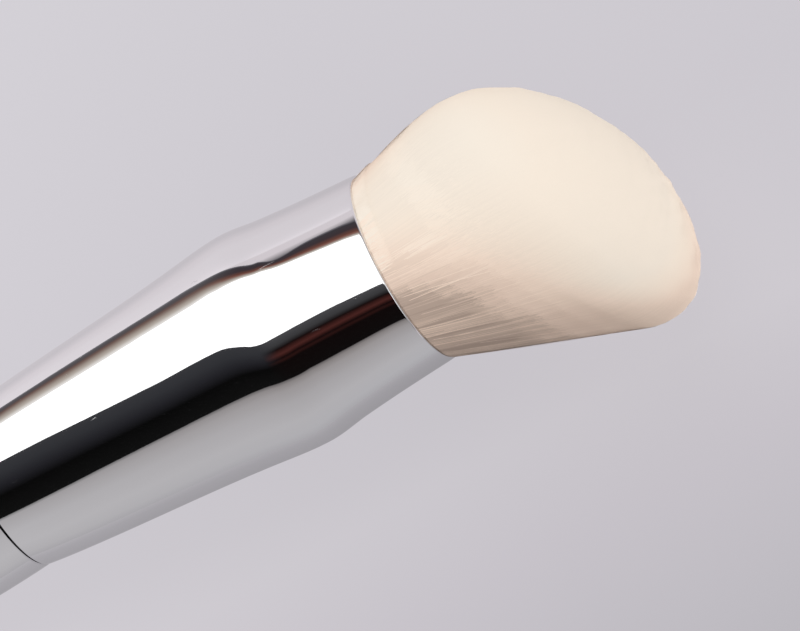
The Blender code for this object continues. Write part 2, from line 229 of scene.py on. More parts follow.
class ShaderSheet:
    """A node tree with short calls to add and join its nodes."""

    def __init__(self, tree: bpy.types.NodeTree) -> None:
        """Take the tree and clear it.

        Args:
            tree: The material's, world's or group's tree.
        """
        self.tree = tree
        tree.nodes.clear()

    def node(self, kind: str, **settings: object) -> bpy.types.Node:
        """Add a node, and set its own properties.

        Args:
            kind: The node's type in Blender.
            **settings: Properties of the node itself.

        Returns:
            The new node.
        """
        made = self.tree.nodes.new(kind)
        for key, value in settings.items():
            setattr(made, key, value)
        return made

    def join(self, value: object, target: bpy.types.NodeSocket) -> None:
        """Link a socket to an input, or give the input a number, a vector or a colour.

        Args:
            value: The socket or the value.
            target: The input.
        """
        if isinstance(value, bpy.types.NodeSocket):
            self.tree.links.new(value, target)
        elif target.type == "RGBA":
            target.default_value = opaque(value)
        else:
            target.default_value = value

    def feed(self, made: bpy.types.Node, **values: object) -> bpy.types.Node:
        """Link or set several inputs of a node.

        Args:
            made: The node.
            **values: A socket or a value for each input, by the input's name with _ for a space.

        Returns:
            The same node.
        """
        for name, value in values.items():
            self.join(value, made.inputs[name.replace("_", " ")])
        return made

    def split(self, output: str) -> bpy.types.Node:
        """Add texture coordinates of one kind, parted into X, Y and Z."""
        place = self.node("ShaderNodeTexCoord").outputs[output]
        return self.feed(self.node("ShaderNodeSeparateXYZ"), Vector=place)

    def math(self, operation: str, first: object, second: object = 0.0) -> bpy.types.NodeSocket:
        """Add a Math node.

        Args:
            operation: Its operation.
            first: A socket or a number.
            second: A socket or a number.

        Returns:
            Its output.
        """
        made = self.node("ShaderNodeMath", operation=operation)
        for value, target in zip((first, second), made.inputs):
            self.join(value, target)
        return made.outputs[0]

    def remap(
        self, value: bpy.types.NodeSocket, start: float, end: float, low: float = 0.0, high: float = 1.0
    ) -> bpy.types.NodeSocket:
        """Turn one range of a number into another, and hold it at the ends.

        Args:
            value: The number.
            start: Where it gives the first result.
            end: Where it gives the last result.
            low: The first result.
            high: The last result.

        Returns:
            The new number.
        """
        made = self.node("ShaderNodeMapRange")
        self.feed(made, Value=value, From_Min=start, From_Max=end, To_Min=low, To_Max=high)
        return made.outputs["Result"]

    def mix(self, share: object, first: object, second: object, blend: str = "MIX") -> bpy.types.NodeSocket:
        """Mix two colours.

        Args:
            share: Socket or number, 0 for the first colour and 1 for the second.
            first: A socket or a colour.
            second: A socket or a colour.
            blend: The way they mix.

        Returns:
            The mixed colour.
        """
        made = self.node("ShaderNodeMix", data_type="RGBA", blend_type=blend)
        for name, value in (("Factor_Float", share), ("A_Color", first), ("B_Color", second)):
            self.join(value, next(s for s in made.inputs if s.identifier == name))
        return next(s for s in made.outputs if s.identifier == "Result_Color")

    def ramp(self, share: bpy.types.NodeSocket, stops: Stops) -> bpy.types.NodeSocket:
        """Turn a number into a colour.

        Args:
            share: The number, from 0 to 1.
            stops: Place and colour of each stop, in order.

        Returns:
            The colour.
        """
        made = self.feed(self.node("ShaderNodeValToRGB"), Fac=share)
        elements = made.color_ramp.elements
        while len(elements) < len(stops):
            elements.new(1.0)
        for element, (place, colour) in zip(elements, stops):
            element.position = place
            element.color = opaque(colour)
        return made.outputs["Color"]

    def noise(self, place: bpy.types.NodeSocket, scale: object, detail: float = 2.0) -> bpy.types.NodeSocket:
        """Add a noise texture.

        Args:
            place: Coordinates.
            scale: Socket or number, the waves of its grain in a metre.
            detail: How many finer layers it has.

        Returns:
            Its value.
        """
        made = self.feed(self.node("ShaderNodeTexNoise"), Vector=place, Scale=scale, Detail=detail)
        return made.outputs[0]

    def glow(self, colour: object, strength: object = 1.0) -> bpy.types.NodeSocket:
        """Add a shader that gives light of its own."""
        return self.feed(self.node("ShaderNodeEmission"), Color=colour, Strength=strength).outputs[0]


def new_material(name: str) -> tuple[bpy.types.Material, ShaderSheet, bpy.types.Node]:
    """Start a material with a Principled shader.

    Args:
        name: The material's name.

    Returns:
        The material, its sheet and the shader.
    """
    material = bpy.data.materials.new(name)
    material.use_nodes = True
    sheet = ShaderSheet(material.node_tree)
    shader = sheet.node("ShaderNodeBsdfPrincipled")
    sheet.feed(sheet.node("ShaderNodeOutputMaterial"), Surface=shader.outputs["BSDF"])
    return material, sheet, shader


class SharedEffects:
    """Node groups that several finishes use, each built once."""

    def __init__(self) -> None:
        """Build the groups."""
        self.polish = self._group("polish_marks", ("Ripple Scale", "Scratch Scale"), self._polish)
        self.grain = self._group("fine_grain", ("Grain Scale",), self._grain)

    @staticmethod
    def _group(
        name: str, inputs: Sequence[str], fill: Callable[[ShaderSheet, bpy.types.Node, bpy.types.Node], None]
    ) -> bpy.types.NodeTree:
        """Make a group with the given inputs, a height and a mask.

        Args:
            name: The group's name.
            inputs: Names of its number inputs.
            fill: Call that adds its nodes between its ends.

        Returns:
            The group's tree.
        """
        tree = bpy.data.node_groups.new(name, "ShaderNodeTree")
        for label in inputs:
            tree.interface.new_socket(label, in_out="INPUT", socket_type="NodeSocketFloat")
        for label in ("Height", "Mask"):
            tree.interface.new_socket(label, in_out="OUTPUT", socket_type="NodeSocketFloat")
        sheet = ShaderSheet(tree)
        fill(sheet, sheet.node("NodeGroupInput"), sheet.node("NodeGroupOutput"))
        return tree

    @staticmethod
    def _polish(sheet: ShaderSheet, start: bpy.types.Node, end: bpy.types.Node) -> None:
        """Soft ripples of plated metal as the height, and sparse fine scratches as the mask.

        Args:
            sheet: The group's sheet.
            start: Its inputs.
            end: Its outputs.
        """
        place = sheet.node("ShaderNodeTexCoord").outputs["Object"]
        drawn = sheet.feed(sheet.node("ShaderNodeMapping"), Vector=place, Scale=SCRATCH_STRETCH)
        lines = sheet.noise(drawn.outputs[0], start.outputs["Scratch Scale"], 3.0)
        ripple = sheet.noise(place, start.outputs["Ripple Scale"], 1.0)
        sheet.feed(end, Height=ripple, Mask=sheet.math("GREATER_THAN", lines, SCRATCH_LEVEL))

    @staticmethod
    def _grain(sheet: ShaderSheet, start: bpy.types.Node, end: bpy.types.Node) -> None:
        """Even grain as the height, and broad soft patches as the mask.

        Args:
            sheet: The group's sheet.
            start: Its inputs.
            end: Its outputs.
        """
        place = sheet.node("ShaderNodeTexCoord").outputs["Object"]
        fine = sheet.noise(place, start.outputs["Grain Scale"], 4.0)
        sheet.feed(end, Height=fine, Mask=sheet.noise(place, PATCH_WAVES))


def add_group(sheet: ShaderSheet, tree: bpy.types.NodeTree, **values: float) -> bpy.types.Node:
    """Place a shared group in a material, with values for its inputs."""
    return sheet.feed(sheet.node("ShaderNodeGroup", node_tree=tree), **values)


def add_bump(
    sheet: ShaderSheet, shader: bpy.types.Node, height: bpy.types.NodeSocket, strength: float, depth: float
) -> None:
    """Let a height tilt the surface.

    Args:
        sheet: The material's sheet.
        shader: The Principled shader.
        height: The height's socket.
        strength: The bump's strength.
        depth: The height's full depth.
    """
    bump = sheet.feed(sheet.node("ShaderNodeBump"), Height=height, Strength=strength, Distance=depth)
    sheet.feed(shader, Normal=bump.outputs["Normal"])


@dataclass(frozen=True)
class MirrorPlate:
    """Bright polished plating.

    Attributes:
        name: The material's name.
        colour: Colour of what it reflects.
        smooth: Roughness of the clean plate.
        scuffed: Roughness of a fine scratch.
        ripples, scratches: Waves of its ripples and scratches in a metre.
        bump, depth: Strength and full depth of the ripples.
    """

    name: str
    colour: Colour = (0.89, 0.885, 0.895)
    smooth: float = 0.035
    scuffed: float = 0.22
    ripples: float = 620.0
    scratches: float = 2600.0
    bump: float = 0.06
    depth: float = 0.00004

    def build(self, effects: SharedEffects) -> bpy.types.Material:
        """Make the material from the shared polish marks.

        Args:
            effects: The shared node groups.

        Returns:
            The material.
        """
        material, sheet, shader = new_material(self.name)
        marks = add_group(sheet, effects.polish, Ripple_Scale=self.ripples, Scratch_Scale=self.scratches)
        spread = sheet.remap(marks.outputs["Mask"], 0.0, 1.0, self.smooth, self.scuffed)
        sheet.feed(shader, Base_Color=self.colour, Metallic=1.0, Roughness=spread)
        add_bump(sheet, shader, marks.outputs["Height"], self.bump, self.depth)
        return material


@dataclass(frozen=True)
class GrainedFinish:
    """A plain finish with a fine grain: the drawn cup, the cast resin and the moulded sleeve.

    Attributes:
        name: The material's name.
        light: Colour of its paler patches.
        deep: Colour of its darker patches.
        metal: How metallic it is.
        rough: Roughness.
        grain: Waves of the grain in a metre.
        depth: Depth of the grain.
        clear: How much light passes through.
        bump: Strength of the grain.
    """

    name: str
    light: Colour
    deep: Colour
    metal: float
    rough: float
    grain: float
    depth: float
    clear: float = 0.0
    bump: float = 0.4

    def build(self, effects: SharedEffects) -> bpy.types.Material:
        """Make the material from the shared grain.

        Args:
            effects: The shared node groups.

        Returns:
            The material.
        """
        material, sheet, shader = new_material(self.name)
        grain = add_group(sheet, effects.grain, Grain_Scale=self.grain)
        colour = sheet.mix(grain.outputs["Mask"], self.deep, self.light)
        sheet.feed(
            shader, Base_Color=colour, Metallic=self.metal, Roughness=self.rough,
            Transmission_Weight=self.clear,
        )
        add_bump(sheet, shader, grain.outputs["Height"], self.bump, self.depth)
        return material


@dataclass(frozen=True)
class PaintedFibreShade:
    """One painted shade of synthetic fibre, a lit or shaded copy of its colour: each strand has one at each
    of its levels, by how it faces the light, and strands differ.

    Attributes:
        name: The material's name.
        colour: Its colour, painted paler or deeper for how the strand faces the light.
        rough: Roughness.
        gloss: Level of its reflection.
        sheen, sheen_rough: Weight and roughness of its soft sheen.
    """

    name: str
    colour: Colour
    rough: float = 0.62
    gloss: float = 0.25
    sheen: float = 0.1
    sheen_rough: float = 0.5

    def build(self) -> bpy.types.Material:
        """Make the material of one even colour.

        Returns:
            The material.
        """
        material, sheet, shader = new_material(self.name)
        sheet.feed(shader, Base_Color=self.colour, Roughness=self.rough, Specular_IOR_Level=self.gloss)
        sheet.feed(shader, Sheen_Weight=self.sheen, Sheen_Roughness=self.sheen_rough)
        return material


@dataclass(frozen=True)
class PackedFibre:
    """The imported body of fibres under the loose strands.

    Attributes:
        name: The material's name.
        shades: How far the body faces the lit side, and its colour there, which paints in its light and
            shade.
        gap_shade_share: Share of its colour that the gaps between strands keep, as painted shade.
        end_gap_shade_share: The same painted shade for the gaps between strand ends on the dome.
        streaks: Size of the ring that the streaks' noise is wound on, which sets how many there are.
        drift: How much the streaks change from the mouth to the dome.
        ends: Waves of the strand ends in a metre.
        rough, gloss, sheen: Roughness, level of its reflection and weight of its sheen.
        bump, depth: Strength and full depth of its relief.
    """

    name: str
    shades: Stops
    gap_shade_share: float = 0.88
    end_gap_shade_share: float = 0.97
    streaks: float = 67.0
    drift: float = 5.0
    ends: float = 7000.0
    rough: float = 0.7
    gloss: float = 0.2
    sheen: float = 0.1
    bump: float = 0.25
    depth: float = 0.00004

    def build(self) -> bpy.types.Material:
        """Make streaks along the strands on the flank and fine ends on the dome, which paint shade into their
        gaps, over the body's painted light and shade.

        Returns:
            The material.
        """
        material, sheet, shader = new_material(self.name)
        place = sheet.split("UV")
        turn = sheet.math("MULTIPLY", place.outputs["X"], math.tau)
        wound = sheet.node("ShaderNodeCombineXYZ")
        for axis, operation in (("X", "COSINE"), ("Y", "SINE")):
            sheet.feed(wound, **{axis: sheet.math("MULTIPLY", sheet.math(operation, turn), self.streaks)})
        sheet.feed(wound, Z=sheet.math("MULTIPLY", place.outputs["Y"], self.drift))
        streaks = sheet.noise(wound.outputs[0], 1.0, 3.0)
        ends = sheet.noise(sheet.node("ShaderNodeTexCoord").outputs["Object"], self.ends, 1.0)
        lit, domed = (
            sheet.node("ShaderNodeAttribute", attribute_name=name).outputs["Fac"]
            for name in (PAINTED_LIGHT_SHARE, DOME_SHARE)
        )
        # The streaks and the strand ends paint shade into the gaps between strands.
        flank, dome = (
            sheet.mix(share, (kept,) * 3, (1.0, 1.0, 1.0))
            for share, kept in ((streaks, self.gap_shade_share), (ends, self.end_gap_shade_share))
        )
        # The ramp paints light and shade into the body's colour by how far it faces the lit side.
        colour = sheet.mix(1.0, sheet.ramp(lit, self.shades), sheet.mix(domed, flank, dome), "MULTIPLY")
        sheet.feed(
            shader, Base_Color=colour, Roughness=self.rough, Specular_IOR_Level=self.gloss,
            Sheen_Weight=self.sheen,
        )
        add_bump(sheet, shader, sheet.math("ADD", streaks, ends), self.bump, self.depth)
        return material


def hermite(start: tuple[float, float, float], end: tuple[float, float, float], steps: int) -> list[Point]:
    """Points of a smooth curve between two stations, without the last one.

    Args:
        start: Height, radius and slope of the first station.
        end: The same of the second station.
        steps: How many points to give.

    Returns:
        Height and radius of each point.
    """
    drop = end[0] - start[0]
    points = []
    for step in range(steps):
        t = step / steps
        near = (1 + 2 * t) * (1 - t) ** 2
        radius = near * start[1] + (1 - near) * end[1]
        radius += drop * (t * (1 - t) ** 2 * start[2] + t * t * (t - 1) * end[2])
        points.append((start[0] + drop * t, radius))
    return points


def smooth_outline(stations: Sequence[tuple[float, float, float]], steps: int) -> list[Point]:
    """Points of the smooth curve through all the stations, with the last one.

    Args:
        stations: Height, radius and slope of each station.
        steps: Points between two stations.

    Returns:
        Height and radius of each point.
    """
    points: list[Point] = []
    for start, end in zip(stations, stations[1:]):
        points += hermite(start, end, steps)
    return points + [stations[-1][:2]]


def quarter_round(start: Point, corner: Point, end: Point, steps: int) -> list[Point]:
    """Points of a quarter round.

    Args:
        start: Its first point.
        corner: The corner that it rounds off.
        end: Its last point.
        steps: How many steps it has.

    Returns:
        Height and radius of each point.
    """
    points = []
    for step in range(steps + 1):
        turn = math.radians(90) * step / steps
        toward, past = math.sin(turn), 1 - math.cos(turn)
        points.append(
            tuple(start[i] + (corner[i] - start[i]) * toward + (end[i] - corner[i]) * past for i in (0, 1))
        )
    return points


@dataclass
class TurnedShell:
    """A round metal part, drawn out ring by ring from one circle.

    Attributes:
        segments: Faces round it.
        curve_steps: Points between two stations of its outline.
        round_steps: Points of a rounded edge.
        crease: Angle in degrees past which an edge stays sharp.
    """

    segments: int = 256
    curve_steps: int = 14
    round_steps: int = 6
    crease: float = 35.0

    def drawn_out(
        self, name: str, outline: Sequence[Point], axes: BrushAxes, capped: bool
    ) -> bpy.types.Object:
        """Draw a circle out along an outline and lay it in place.

        Args:
            name: The piece's name.
            outline: Height and radius of each ring, in order round the wall.
            axes: Where the brush lies.
            capped: True where both ends close on the middle line, False where the last ring meets the first.

        Returns:
            The finished piece.
        """
        deselect_all()
        bpy.ops.mesh.primitive_circle_add(
            vertices=self.segments, radius=outline[0][1], location=(0, 0, outline[0][0])
        )
        shell = name_active(name)
        bpy.ops.object.transform_apply(location=True, rotation=True, scale=True)
        bpy.ops.object.mode_set(mode="EDIT")
        bpy.ops.mesh.select_all(action="SELECT")
        if capped:
            bpy.ops.mesh.edge_face_add()
            bpy.ops.mesh.select_all(action="SELECT")
        for (height, radius), (next_height, next_radius) in zip(outline, outline[1:]):
            bpy.ops.mesh.extrude_region_move(TRANSFORM_OT_translate={"value": (0, 0, next_height - height)})
            factor = next_radius / radius
            bpy.ops.transform.resize(value=(factor, factor, 1), center_override=(0, 0, next_height))
        if not capped:
            bpy.ops.mesh.select_all(action="DESELECT")
            bpy.ops.mesh.select_non_manifold(
                extend=False, use_wire=False, use_boundary=True, use_multi_face=False,
                use_non_contiguous=False, use_verts=False,
            )
            bpy.ops.mesh.bridge_edge_loops()
        bpy.ops.mesh.select_all(action="SELECT")
        bpy.ops.mesh.normals_make_consistent(inside=False)
        bpy.ops.object.mode_set(mode="OBJECT")
        bpy.ops.object.shade_smooth_by_angle(angle=math.radians(self.crease))
        shell.matrix_world = axes.upright()
        bpy.ops.object.transform_apply(location=True, rotation=True, scale=True)
        return shell


@dataclass
class Ferrule(TurnedShell):
    """The plated sleeve that flares to a round shoulder and narrows to the mouth. Sizes are in metres."""

    length: float = 0.0522
    seam_radius: float = 0.00975
    mouth_radius: float = 0.0114
    shoulder_rise: float = 0.00145
    shoulder_setback: float = 0.0168
    round_behind: float = 0.0057
    round_ahead: float = 0.0048
    flare_end_share: float = 0.85
    neck_share: float = 0.62
    rim_wall: float = 0.0006
    rim_round: float = 0.0003
    edge_round: float = 0.00025
    rear_wall: float = 0.0009
    rear_land: float = 0.0136
    cup_seat: float = 0.0167
    seat_ledge: float = 0.001
    slopes: Sequence[float] = (-0.06, -0.1, 0, 0.118, 0.12)

    def outline(self) -> list[Point]:
        """Height and radius of each ring: rim, outside, rear edge, and the bore back to the mouth.

        Returns:
            The rings, in metres from the mouth.
        """
        shoulder = self.mouth_radius + self.shoulder_rise
        flare_end = self.seam_radius + (shoulder - self.seam_radius) * self.flare_end_share
        neck = self.mouth_radius + self.shoulder_rise * self.neck_share
        places = [
            (0, self.mouth_radius),
            (self.round_ahead - self.shoulder_setback, neck),
            (-self.shoulder_setback, shoulder),
            (-self.shoulder_setback - self.round_behind, flare_end),
            (-self.length, self.seam_radius),
        ]
        stations = [(*place, slope) for place, slope in zip(places, self.slopes)]
        body = smooth_outline(stations, self.curve_steps)
        body = [p for p in body if self.edge_round - self.length < p[0] < -self.rim_round]
        rim = quarter_round(
            (0, self.mouth_radius - self.rim_round), (0, self.mouth_radius),
            (-self.rim_round, self.mouth_radius), self.round_steps,
        )
        rear = quarter_round(
            (self.edge_round - self.length, self.seam_radius), (-self.length, self.seam_radius),
            (-self.length, self.seam_radius - self.edge_round), self.round_steps,
        )
        mouth_bore, rear_bore = self.mouth_radius - self.rim_wall, self.seam_radius - self.rear_wall
        bore = [
            (-self.length, rear_bore),
            (self.rear_land - self.length, rear_bore),
            (-self.cup_seat, mouth_bore - self.seat_ledge),
            (-self.cup_seat, mouth_bore),
            (0, mouth_bore),
        ]
        return rim + body + rear + bore

    def build(self, axes: BrushAxes, finish: bpy.types.Material) -> bpy.types.Object:
        """Make the sleeve, finish it and let it stand for its CAD node.

        Args:
            axes: Where the brush lies.
            finish: Its plating.

        Returns:
            The finished piece.
        """
        sleeve = self.drawn_out("ferrule_sleeve", self.outline(), axes, capped=False)
        sleeve.data.materials.append(finish)
        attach(sleeve, ROOT_BODY)
        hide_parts(Node.FERRULE.value)
        return sleeve


@dataclass
class Handle(TurnedShell):
    """The plated hollow handle behind the seam. Sizes are in metres."""

    length: float = 0.084
    seam_gap: float = 0.0003
    askew: float = 0.00022
    askew_reach: float = 0.0012
    ferrule_length: float = 0.0522
    front_radius: float = 0.00975
    edge_round: float = 0.00025
    belly_rise: float = 0.0005
    belly_setback: float = 0.013
    waist_share: float = 0.6
    waist_radius_share: float = 0.62
    tail_radius: float = 0.0062
    tail_round: float = 0.0044
    tail_flat: float = 0.0034
    bore_radius: float = 0.00835
    wall: float = 0.0024
    seat: float = 0.0153
    seat_ledge: float = 0.0008
    cavity_end: float = 0.011
    slopes: Sequence[float] = (-0.08, 0, 0.062, 0.075)

    def outline(self) -> list[Point]:
        """Height and radius of each ring: the hollow out to the front, the outside, and the tail.

        Returns:
            The rings, in metres from the mouth.
        """
        belly = self.front_radius + self.belly_rise
        waist = self.tail_radius + (belly - self.tail_radius) * self.waist_radius_share
        tail_start = self.tail_round - self.length
        places = [
            (0, self.front_radius),
            (-self.belly_setback, belly),
            (-self.length * self.waist_share, waist),
            (tail_start, self.tail_radius),
        ]
        stations = [(*place, slope) for place, slope in zip(places, self.slopes)]
        body = smooth_outline(stations, self.curve_steps)
        front = quarter_round(
            (0, self.front_radius - self.edge_round), (0, self.front_radius),
            (-self.edge_round, self.front_radius), self.round_steps,
        )
        tail = quarter_round(
            body[-1], (-self.length, self.tail_radius), (-self.length, self.tail_flat), self.round_steps * 3
        )
        hollow = [
            (self.cavity_end - self.length, self.tail_radius - self.wall),
            (-self.seat, self.bore_radius - self.seat_ledge),
            (-self.seat, self.bore_radius),
            (0, self.bore_radius),
        ]
        rings = hollow + front + [p for p in body[:-1] if p[0] < -self.edge_round] + tail
        top = -(self.ferrule_length + self.seam_gap)
        return [(height + top, radius) for height, radius in rings]

    def seat_askew(self, shell: bpy.types.Object, axes: BrushAxes) -> None:
        """Tilt the front edge a little, so that the seam all but closes on the long side.

        Args:
            shell: The finished handle.
            axes: Where the brush lies.
        """
        for vertex in shell.data.vertices:
            reach = vertex.co - axes.mouth
            behind = -reach.dot(axes.along) - self.ferrule_length - self.seam_gap
            near = max(0.0, 1 - behind / self.askew_reach)
            side = reach.dot(axes.long_side) / self.front_radius
            vertex.co += axes.along * (near * self.askew * side)

    def build(self, axes: BrushAxes, finish: bpy.types.Material) -> bpy.types.Object:
        """Make the handle, finish it and let it stand for its CAD node.

        Args:
            axes: Where the brush lies.
            finish: Its plating.

        Returns:
            The finished piece.
        """
        shell = self.drawn_out("handle_shell", self.outline(), axes, capped=True)
        self.seat_askew(shell, axes)
        shell.data.materials.append(finish)
        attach(shell, ROOT_BODY)
        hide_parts(Node.HANDLE.value)
        return shell


@dataclass
class Strand:
    """One fibre, drawn from a triangle, which is then copied along each path.

    Attributes:
        name: Start of its pieces' names.
        levels: Rings of the strand from root to tip, the tip itself among them.
        roundness: How far its shading turns round the strand, beside the shading of the whole head.
        flatness: Its thickness as a share of its width.
        points: Place of each corner across the strand.
        level_of: Level of each corner.
        triangles: Corners of each face.
    """

    name: str
    levels: int
    roundness: float
    flatness: float = 0.15
    points: np.ndarray = field(init=False)
    level_of: np.ndarray = field(init=False)
    triangles: np.ndarray = field(init=False)

    def __post_init__(self) -> None:
        """Draw the triangle out, close its ends and read the result."""
        deselect_all()
        bpy.ops.mesh.primitive_circle_add(vertices=3, radius=1.0, fill_type="NGON")
        strand = name_active(self.name)
        bpy.ops.object.mode_set(mode="EDIT")
        bpy.ops.mesh.select_all(action="SELECT")
        for _ in range(1, self.levels):
            bpy.ops.mesh.extrude_region_move(TRANSFORM_OT_translate={"value": (0, 0, 1)})
        bpy.ops.mesh.merge(type="CENTER")
        bpy.ops.mesh.select_all(action="SELECT")
        bpy.ops.mesh.quads_convert_to_tris()
        bpy.ops.mesh.normals_make_consistent(inside=False)
        bpy.ops.object.mode_set(mode="OBJECT")
        mesh = strand.data
        corners = np.array([v.co for v in mesh.vertices])
        self.points = corners[:, :2] * (1.0, self.flatness)
        self.level_of = np.rint(corners[:, 2]).astype(int)
        self.triangles = np.array([p.vertices for p in mesh.polygons])
        bpy.data.objects.remove(strand)
        bpy.data.meshes.remove(mesh)

    def copied(
        self, name: str, paths: np.ndarray, facing: np.ndarray, widths: np.ndarray, tones: np.ndarray
    ) -> bpy.types.Object:
        """Copy the strand along many paths into one piece.

        Args:
            name: The piece's name.
            paths: Points of each path, as many as the strand has levels.
            facing: Direction that the head's surface faces at each of these points.
            widths: Half thickness at each of these points.
            tones: Number of the material at each level of each strand, one of the painted shades.

        Returns:
            The piece.
        """
        ahead = paths[:, -1] - paths[:, 0]
        ahead /= np.linalg.norm(ahead, axis=1, keepdims=True)
        middle = paths[:, :1].mean(axis=0)
        outward = np.cross(ahead, paths[:, 0] - middle + 1e-6)
        outward /= np.linalg.norm(outward, axis=1, keepdims=True)
        third = np.cross(ahead, outward)
        at = paths[:, self.level_of]
        across = widths[:, self.level_of, None]
        corners = at + across * (
            self.points[None, :, :1] * outward[:, None] + self.points[None, :, 1:] * third[:, None]
        )
        count, per_strand = corners.shape[:2]
        triangles = (self.triangles[None] + per_strand * np.arange(count)[:, None, None]).reshape(-1, 3)
        mesh = bpy.data.meshes.new(name)
        mesh.from_pydata(corners.reshape(-1, 3), [], triangles)
        tone_of = tones[:, self.level_of[self.triangles].min(axis=1)]
        mesh.polygons.foreach_set("material_index", tone_of.ravel().astype(np.int32))
        mesh.polygons.foreach_set("use_smooth", np.ones(len(triangles), bool))
        mesh.update()
        round_off = corners - at
        round_off /= np.maximum(np.linalg.norm(round_off, axis=-1, keepdims=True), 1e-9)
        soft = facing[:, self.level_of] + self.roundness * round_off
        soft /= np.linalg.norm(soft, axis=-1, keepdims=True)
        mesh.normals_split_custom_set_from_vertices(soft.reshape(-1, 3))
        obj = bpy.data.objects.new(name, mesh)
        bpy.context.scene.collection.objects.link(obj)
        hide_from(obj, "shadow", "diffuse")
        return obj


@dataclass(frozen=True)
class Locks:
    """How the strands of the flank gather in locks. Lengths are in metres.

    Attributes:
        count: How many locks.
        shade: How much locks differ in shade.
        strand_shade: How much the strands of one lock differ.
        deepest: The most that a strand is deeper than the head's painted shade at its place.
        pull: Share of the way to its lock's middle that a strand bends.
        height, reach: Height over the mouth where it bends most, and how far from there that fades.
        width: Turn in radians from a lock's middle to where it stands out no longer.
        rise: How far its middle stands out.
        strand_rise: Between what a single strand stands back and out.
        fade: Power by which a strand's own shade fades toward its tip.
        wander: Turn in radians by which a strand wanders.
        loose_share: Share of the strands that lie pale and loose over the rest.
        loose_wander, loose_rise, loose_shade: The same three for these.
    """

    count: int = 74
    shade: float = 0.13
    strand_shade: float = 0.08
    deepest: float = 0.16
    pull: float = 0.22
    height: float = 0.005
    reach: float = 0.0055
    width: float = 0.05
    rise: float = 0.00005
    strand_rise: tuple[float, float] = (-0.00003, 0.00002)
    fade: float = 0.7
    wander: float = 0.012
    loose_share: float = 0.014
    loose_wander: float = 0.06
    loose_rise: float = 0.00015
    loose_shade: float = 0.5


@dataclass(frozen=True)
class StrandEnds:
    """One sort of strand end on the dome.

    Attributes:
        name: Start of its pieces' names.
        count: How many strands.
        below: How far down a strand starts.
        above: How far the longest passes the dome.
        thin: Its share of the full thickness.
    """

    name: str
    count: int
    below: float
    above: float
    thin: float


